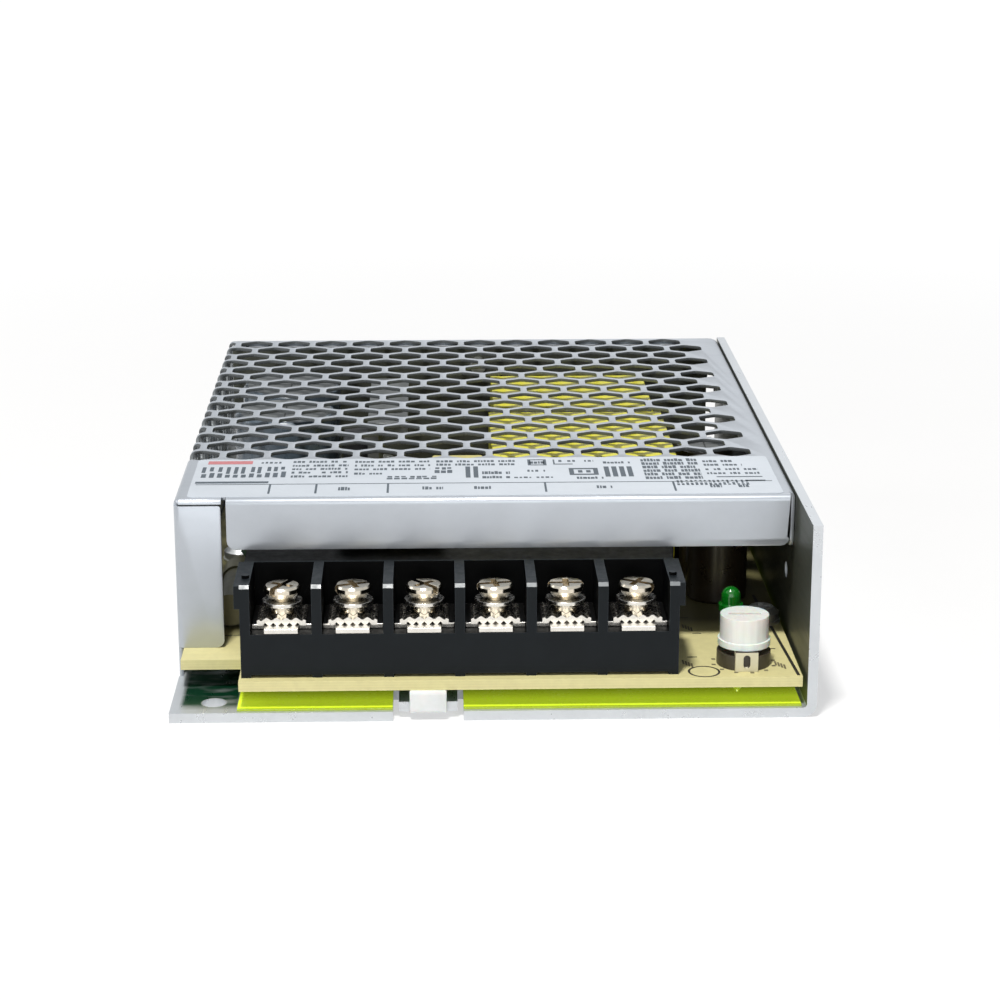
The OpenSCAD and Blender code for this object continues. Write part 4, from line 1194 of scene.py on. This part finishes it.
class SUPPLY_OT_terminals(bpy.types.Operator):
    """Plates, clamps, washers and screws of the six terminals"""

    bl_idname = "supply.terminals"
    bl_label = "Terminals"

    def clamp(self, node):
        """Saddle clamp whose top waves from side to side as its teeth do below."""
        low, high = node_box(node)
        draft = draft_of(node)
        steps, waves, swing, skin = 42, 5, 0.19 * MM, 0.2 * MM
        for step in range(1, steps):
            x = low.x + (high.x - low.x) * step / steps
            cut_across(draft, at(x, 0, 0), (1, 0, 0), 1e-8)
        left, right = at(low.x, 0, 0).x, at(high.x, 0, 0).x
        top = at(0, 0, high.z).z
        for vert in draft.verts:
            if top - vert.co.z < skin:
                across = (vert.co.x - left) / (right - left) * waves
                vert.co.z -= swing * (1 - math.cos(2 * math.pi * across))
        stand_in(draft, node, "terminal_metal", ("terminal_metal",), 38)

    def execute(self, context):
        for way in range(1, WAYS + 1):
            # Plate tops behind the clamp take the metal with painted shade.
            dress(f"terminal_plate_{way}", "terminal_metal", 0.12,
                  finishes=("terminal_metal", "terminal_shade"),
                  which=lambda middle, normal: normal.z > 0.9 and middle.y > 6)
            self.clamp(f"terminal_clamp_{way}")
            dress(f"terminal_washer_{way}", "terminal_metal", 0.12)
            dress(f"terminal_screw_{way}", "screw_metal", 0.12)
        return {"FINISHED"}


class SUPPLY_OT_trimmer(bpy.types.Operator):
    """Voltage trimmer and its knob"""

    bl_idname = "supply.trimmer"
    bl_label = "Voltage trimmer"

    def execute(self, context):
        def collar(middle, normal):
            """Everything but the pale post at the front; the post's slot is dark too, as painted shade in its recess.
            """
            aside = abs(middle.x - TRIMMER_XY[0])
            post = aside < 1.78 and middle.y < TRIMMER_XY[1] - 3.4
            slot = aside < 0.5 and middle.y > TRIMMER_XY[1] - 4.25
            return not post or (slot and abs(normal.z) < 0.95)

        dress("trimmer_body", "trimmer_plastic", 0.08,
              finishes=("trimmer_plastic", "trimmer_dark"), which=collar)
        dress("trimmer_knob", "knob_plastic", 0.14)
        return {"FINISHED"}


class SUPPLY_OT_lamp(bpy.types.Operator):
    """Green lamp"""

    bl_idname = "supply.lamp"
    bl_label = "Lamp"

    def execute(self, context):
        return dress_all(("indicator_lamp", "lamp_plastic", 0.08))


class SUPPLY_OT_magnetics(bpy.types.Operator):
    """Transformer and chokes"""

    bl_idname = "supply.magnetics"
    bl_label = "Transformer and chokes"

    def execute(self, context):
        return dress_all(
            ("transformer_core", "ferrite", 0.2), ("transformer_winding", "winding_tape", 0.5, 3),
            ("transformer_tape", "yellow_tape", 0.12), ("storage_choke_core", "ferrite", 0.3),
            ("storage_choke_tape", "yellow_tape", 0.12), ("line_choke_core", "ferrite", 0.3),
            ("line_choke_winding", "copper_wire", 0.25),
        )


class SUPPLY_OT_capacitors(bpy.types.Operator):
    """Round and boxed capacitors"""

    bl_idname = "supply.capacitors"
    bl_label = "Capacitors"

    def execute(self, context):
        dress_all(
            ("bulk_capacitor_1", "bulk_sleeve", 0.15), ("bulk_capacitor_2", "bulk_sleeve", 0.15),
            ("output_capacitors", "output_sleeve", 0.12), ("x_capacitors", "capacitor_box", 0.3),
            ("y_capacitors", "y_capacitor_coat", 0.4),
        )
        for node, slot, count in (
            ("bulk_capacitor_1", "bulk_sleeve", 1), ("bulk_capacitor_2", "bulk_sleeve", 1),
            ("output_capacitors", "output_sleeve", 3),
        ):
            self.can_tops(node, slot, count)
        return {"FINISHED"}

    def can_tops(self, node, slot, count):
        """Bare scored tops of the cans inside the rim of their sleeves."""
        low, high = node_box(node)
        radius = (high.x - low.x) / 2
        rim = radius - 0.9
        score, line = rim * 0.62, 0.14
        step = (high.y - low.y - 2 * radius) / max(count - 1, 1)
        draft = bmesh.new()
        for i in range(count):
            x, y = (low.x + high.x) / 2, low.y + radius + step * i
            add_turned(draft, (x, y, high.z), [
                (rim, 0.0), (rim - 0.05, 0.05), (rim - 0.35, 0.05), (rim - 0.5, 0.02), (0.0, 0.02)
            ], 40)
            for half_x, half_y in ((score, line), (line, score)):
                add_print(draft, x - half_x, y - half_y, x + half_x, y + half_y, high.z + 0.03, 1)
            for side in (-1, 1):
                edge = y + side * radius * 0.93
                add_print(draft, x + radius * 0.2, edge - 0.1, x + radius * 0.35, edge + 0.1,
                          high.z + INK_LIFT, 1)
        set_down(draft, node + "_tops", "case", slot, ("heatsink_metal", "black_epoxy"))


class SUPPLY_OT_power_parts(bpy.types.Operator):
    """Rectifiers, switch and heatsink"""

    bl_idname = "supply.power_parts"
    bl_label = "Power parts"

    def execute(self, context):
        # The clamp takes the same dark metal of painted shade as the walls' inner faces.
        dress("rectifier_clamp", "plated_steel", 0.15, finishes=("inner_metal",))
        return dress_all(
            ("bridge_rectifier", "black_epoxy", 0.25), ("switch_transistor", "black_epoxy", 0.2),
            ("output_rectifier", "black_epoxy", 0.2),
            ("transistor_heatsink", "heatsink_metal", 0.15),
        )


class SUPPLY_OT_small_parts(bpy.types.Operator):
    """Fuse, protection discs, optocoupler and resistors"""

    bl_idname = "supply.small_parts"
    bl_label = "Small parts"

    def execute(self, context):
        return dress_all(
            ("fuse", "fuse_body", 0.15), ("surge_varistor", "varistor_coat", 0.6),
            ("inrush_thermistor", "thermistor_coat", 0.6), ("optocoupler", "grey_epoxy", 0.15),
            ("small_resistors", "resistor_coat", 0.2),
        )


class SUPPLY_OT_stage(bpy.types.Operator):
    """Floor, lamps, room light and camera"""

    bl_idname = "supply.stage"
    bl_label = "Stage"

    def execute(self, context):
        self.floor()
        self.lamps()
        self.room(context)
        self.camera(context)
        context.scene.view_settings.view_transform = "Standard"
        return {"FINISHED"}

    def floor(self):
        draft = bmesh.new()
        bmesh.ops.create_grid(draft, x_segments=4, y_segments=4, size=6)
        floor = new_object("floor", new_mesh(draft, "floor"))
        floor.location.z = CAD_BOX[0][2] - 0.02 * MM
        floor.data.materials.append(self.floor_finish())
        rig.stage(floor)

    def floor_finish(self):
        """Pale paper that is seen as white, except for the shade close to the case."""
        finish = Finish("floor_paper", (0.86, 0.86, 0.86), 0.8)
        finish.mottle(30, 0.01)
        path = finish.node("ShaderNodeLightPath")
        seen = finish.node("ShaderNodeMath", operation="MAXIMUM")
        finish.link(path.outputs["Is Camera Ray"], seen.inputs[0])
        finish.link(path.outputs["Is Glossy Ray"], seen.inputs[1])
        reach = finish.node("ShaderNodeVectorMath", operation="LENGTH")
        finish.link(finish.place, reach.inputs[0])
        far = finish.spread(reach.outputs["Value"], SHADE_NEAR, SHADE_FAR, 0.5, 1.0)
        white = finish.node("ShaderNodeEmission", Color=(1, 1, 1, 1), Strength=1.04)
        blend = finish.node("ShaderNodeMixShader")
        finish.link(finish.product([seen.outputs[0], far]), blend.inputs["Fac"])
        finish.link(finish.shader.outputs["BSDF"], blend.inputs[1])
        finish.link(white.outputs["Emission"], blend.inputs[2])
        surface = finish.tree.nodes["Material Output"].inputs["Surface"]
        finish.link(blend.outputs["Shader"], surface)
        return finish.material

    def lamp(self, name, place, aim, size, power, colour=(1, 1, 1)):
        light = bpy.data.lights.new(name, "AREA")
        light.shape = "SQUARE"
        light.size = size
        light.energy = power
        light.color = colour
        lamp = new_object(name, light)
        lamp.location = place
        lamp.rotation_euler = (Vector(aim) - Vector(place)).to_track_quat("-Z", "Y").to_euler()

    def lamps(self):
        power = look().key_power
        warm = (1.0, 0.985, 0.96)
        self.lamp("key_light", (-0.10, -0.33, 0.92), (0.0, -0.02, 0.02), 0.10, power, warm)
        self.lamp("front_fill", (-0.12, -1.1, 0.24), (0, -0.06, 0.01), 0.9, power * 0.42)
        self.lamp("left_fill", (-0.9, 0.1, 0.5), (0, 0, 0.02), 0.6, power * 0.2)
        self.lamp("back_fill", (0.3, 0.9, 0.7), (0, 0, 0.02), 0.8, power * 0.12)

    def room(self, context):
        """Dim light from all around, with a pale room for what is seen and mirrored."""
        world = bpy.data.worlds.new("room")
        context.scene.world = world
        world.use_nodes = True
        tree = world.node_tree

        def blend(factor, first, second):
            mix = add_node(tree, "ShaderNodeMixShader")
            tree.links.new(factor, mix.inputs["Fac"])
            tree.links.new(first, mix.inputs[1])
            tree.links.new(second, mix.inputs[2])
            return mix.outputs["Shader"]

        around = tree.nodes["Background"]
        around.inputs["Color"].default_value = (0.97, 0.985, 1.0, 1)
        around.inputs["Strength"].default_value = look().room_light
        mirrored = add_node(tree, "ShaderNodeBackground", Color=(0.93, 0.965, 1.0, 1), Strength=0.7)
        seen = add_node(tree, "ShaderNodeBackground", Color=(1, 1, 1, 1), Strength=1.0)
        path = add_node(tree, "ShaderNodeLightPath")
        shiny = add_node(tree, "ShaderNodeMath", operation="MAXIMUM")
        tree.links.new(path.outputs["Is Glossy Ray"], shiny.inputs[0])
        tree.links.new(path.outputs["Is Transmission Ray"], shiny.inputs[1])
        lit = blend(shiny.outputs[0], around.outputs[0], mirrored.outputs[0])
        whole = blend(path.outputs["Is Camera Ray"], lit, seen.outputs[0])
        tree.links.new(whole, tree.nodes["World Output"].inputs["Surface"])

    def camera(self, context):
        lens = bpy.data.cameras.new("camera")
        lens.lens = look().lens
        lens.sensor_width = 36
        lens.clip_start = 0.01
        camera = new_object("camera", lens)
        camera.location = [length * MM for length in CAMERA_PLACE]
        camera.rotation_euler = [math.radians(angle) for angle in CAMERA_TURN]
        context.scene.camera = camera


PIECES = (
    SUPPLY_OT_base, SUPPLY_OT_cover, SUPPLY_OT_label, SUPPLY_OT_film, SUPPLY_OT_board,
    SUPPLY_OT_fasteners, SUPPLY_OT_block, SUPPLY_OT_terminals, SUPPLY_OT_trimmer, SUPPLY_OT_lamp,
    SUPPLY_OT_magnetics, SUPPLY_OT_capacitors, SUPPLY_OT_power_parts, SUPPLY_OT_small_parts,
    SUPPLY_OT_stage,
)


class SUPPLY_PT_panel(bpy.types.Panel):
    """Settings and pieces of the power supply"""

    bl_idname = "SUPPLY_PT_panel"
    bl_label = "Power Supply"
    bl_space_type = "VIEW_3D"
    bl_region_type = "UI"
    bl_category = "Power Supply"

    def draw(self, context):
        for name in SupplyLook.__annotations__:
            self.layout.prop(context.scene.supply_look, name)
        for piece in PIECES:
            self.layout.operator(piece.bl_idname)


CLASSES = (SupplyLook, *PIECES, SUPPLY_PT_panel)


def register():
    for part in CLASSES:
        bpy.utils.register_class(part)
    bpy.types.Scene.supply_look = bpy.props.PointerProperty(type=SupplyLook)


def unregister():
    del bpy.types.Scene.supply_look
    for part in reversed(CLASSES):
        bpy.utils.unregister_class(part)


def main():
    register()
    for piece in PIECES:
        group, name = piece.bl_idname.split(".")
        if getattr(getattr(bpy.ops, group), name)() != {"FINISHED"}:
            raise RuntimeError(f"{piece.bl_label} was not made")
    visual_box = [list(corner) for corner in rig.bounds()]
    with open(SIZES_FILE, "w") as out:
        json.dump({"cad_box": CAD_BOX, "visual_box": visual_box}, out)


if __name__ == "__main__":
    main()
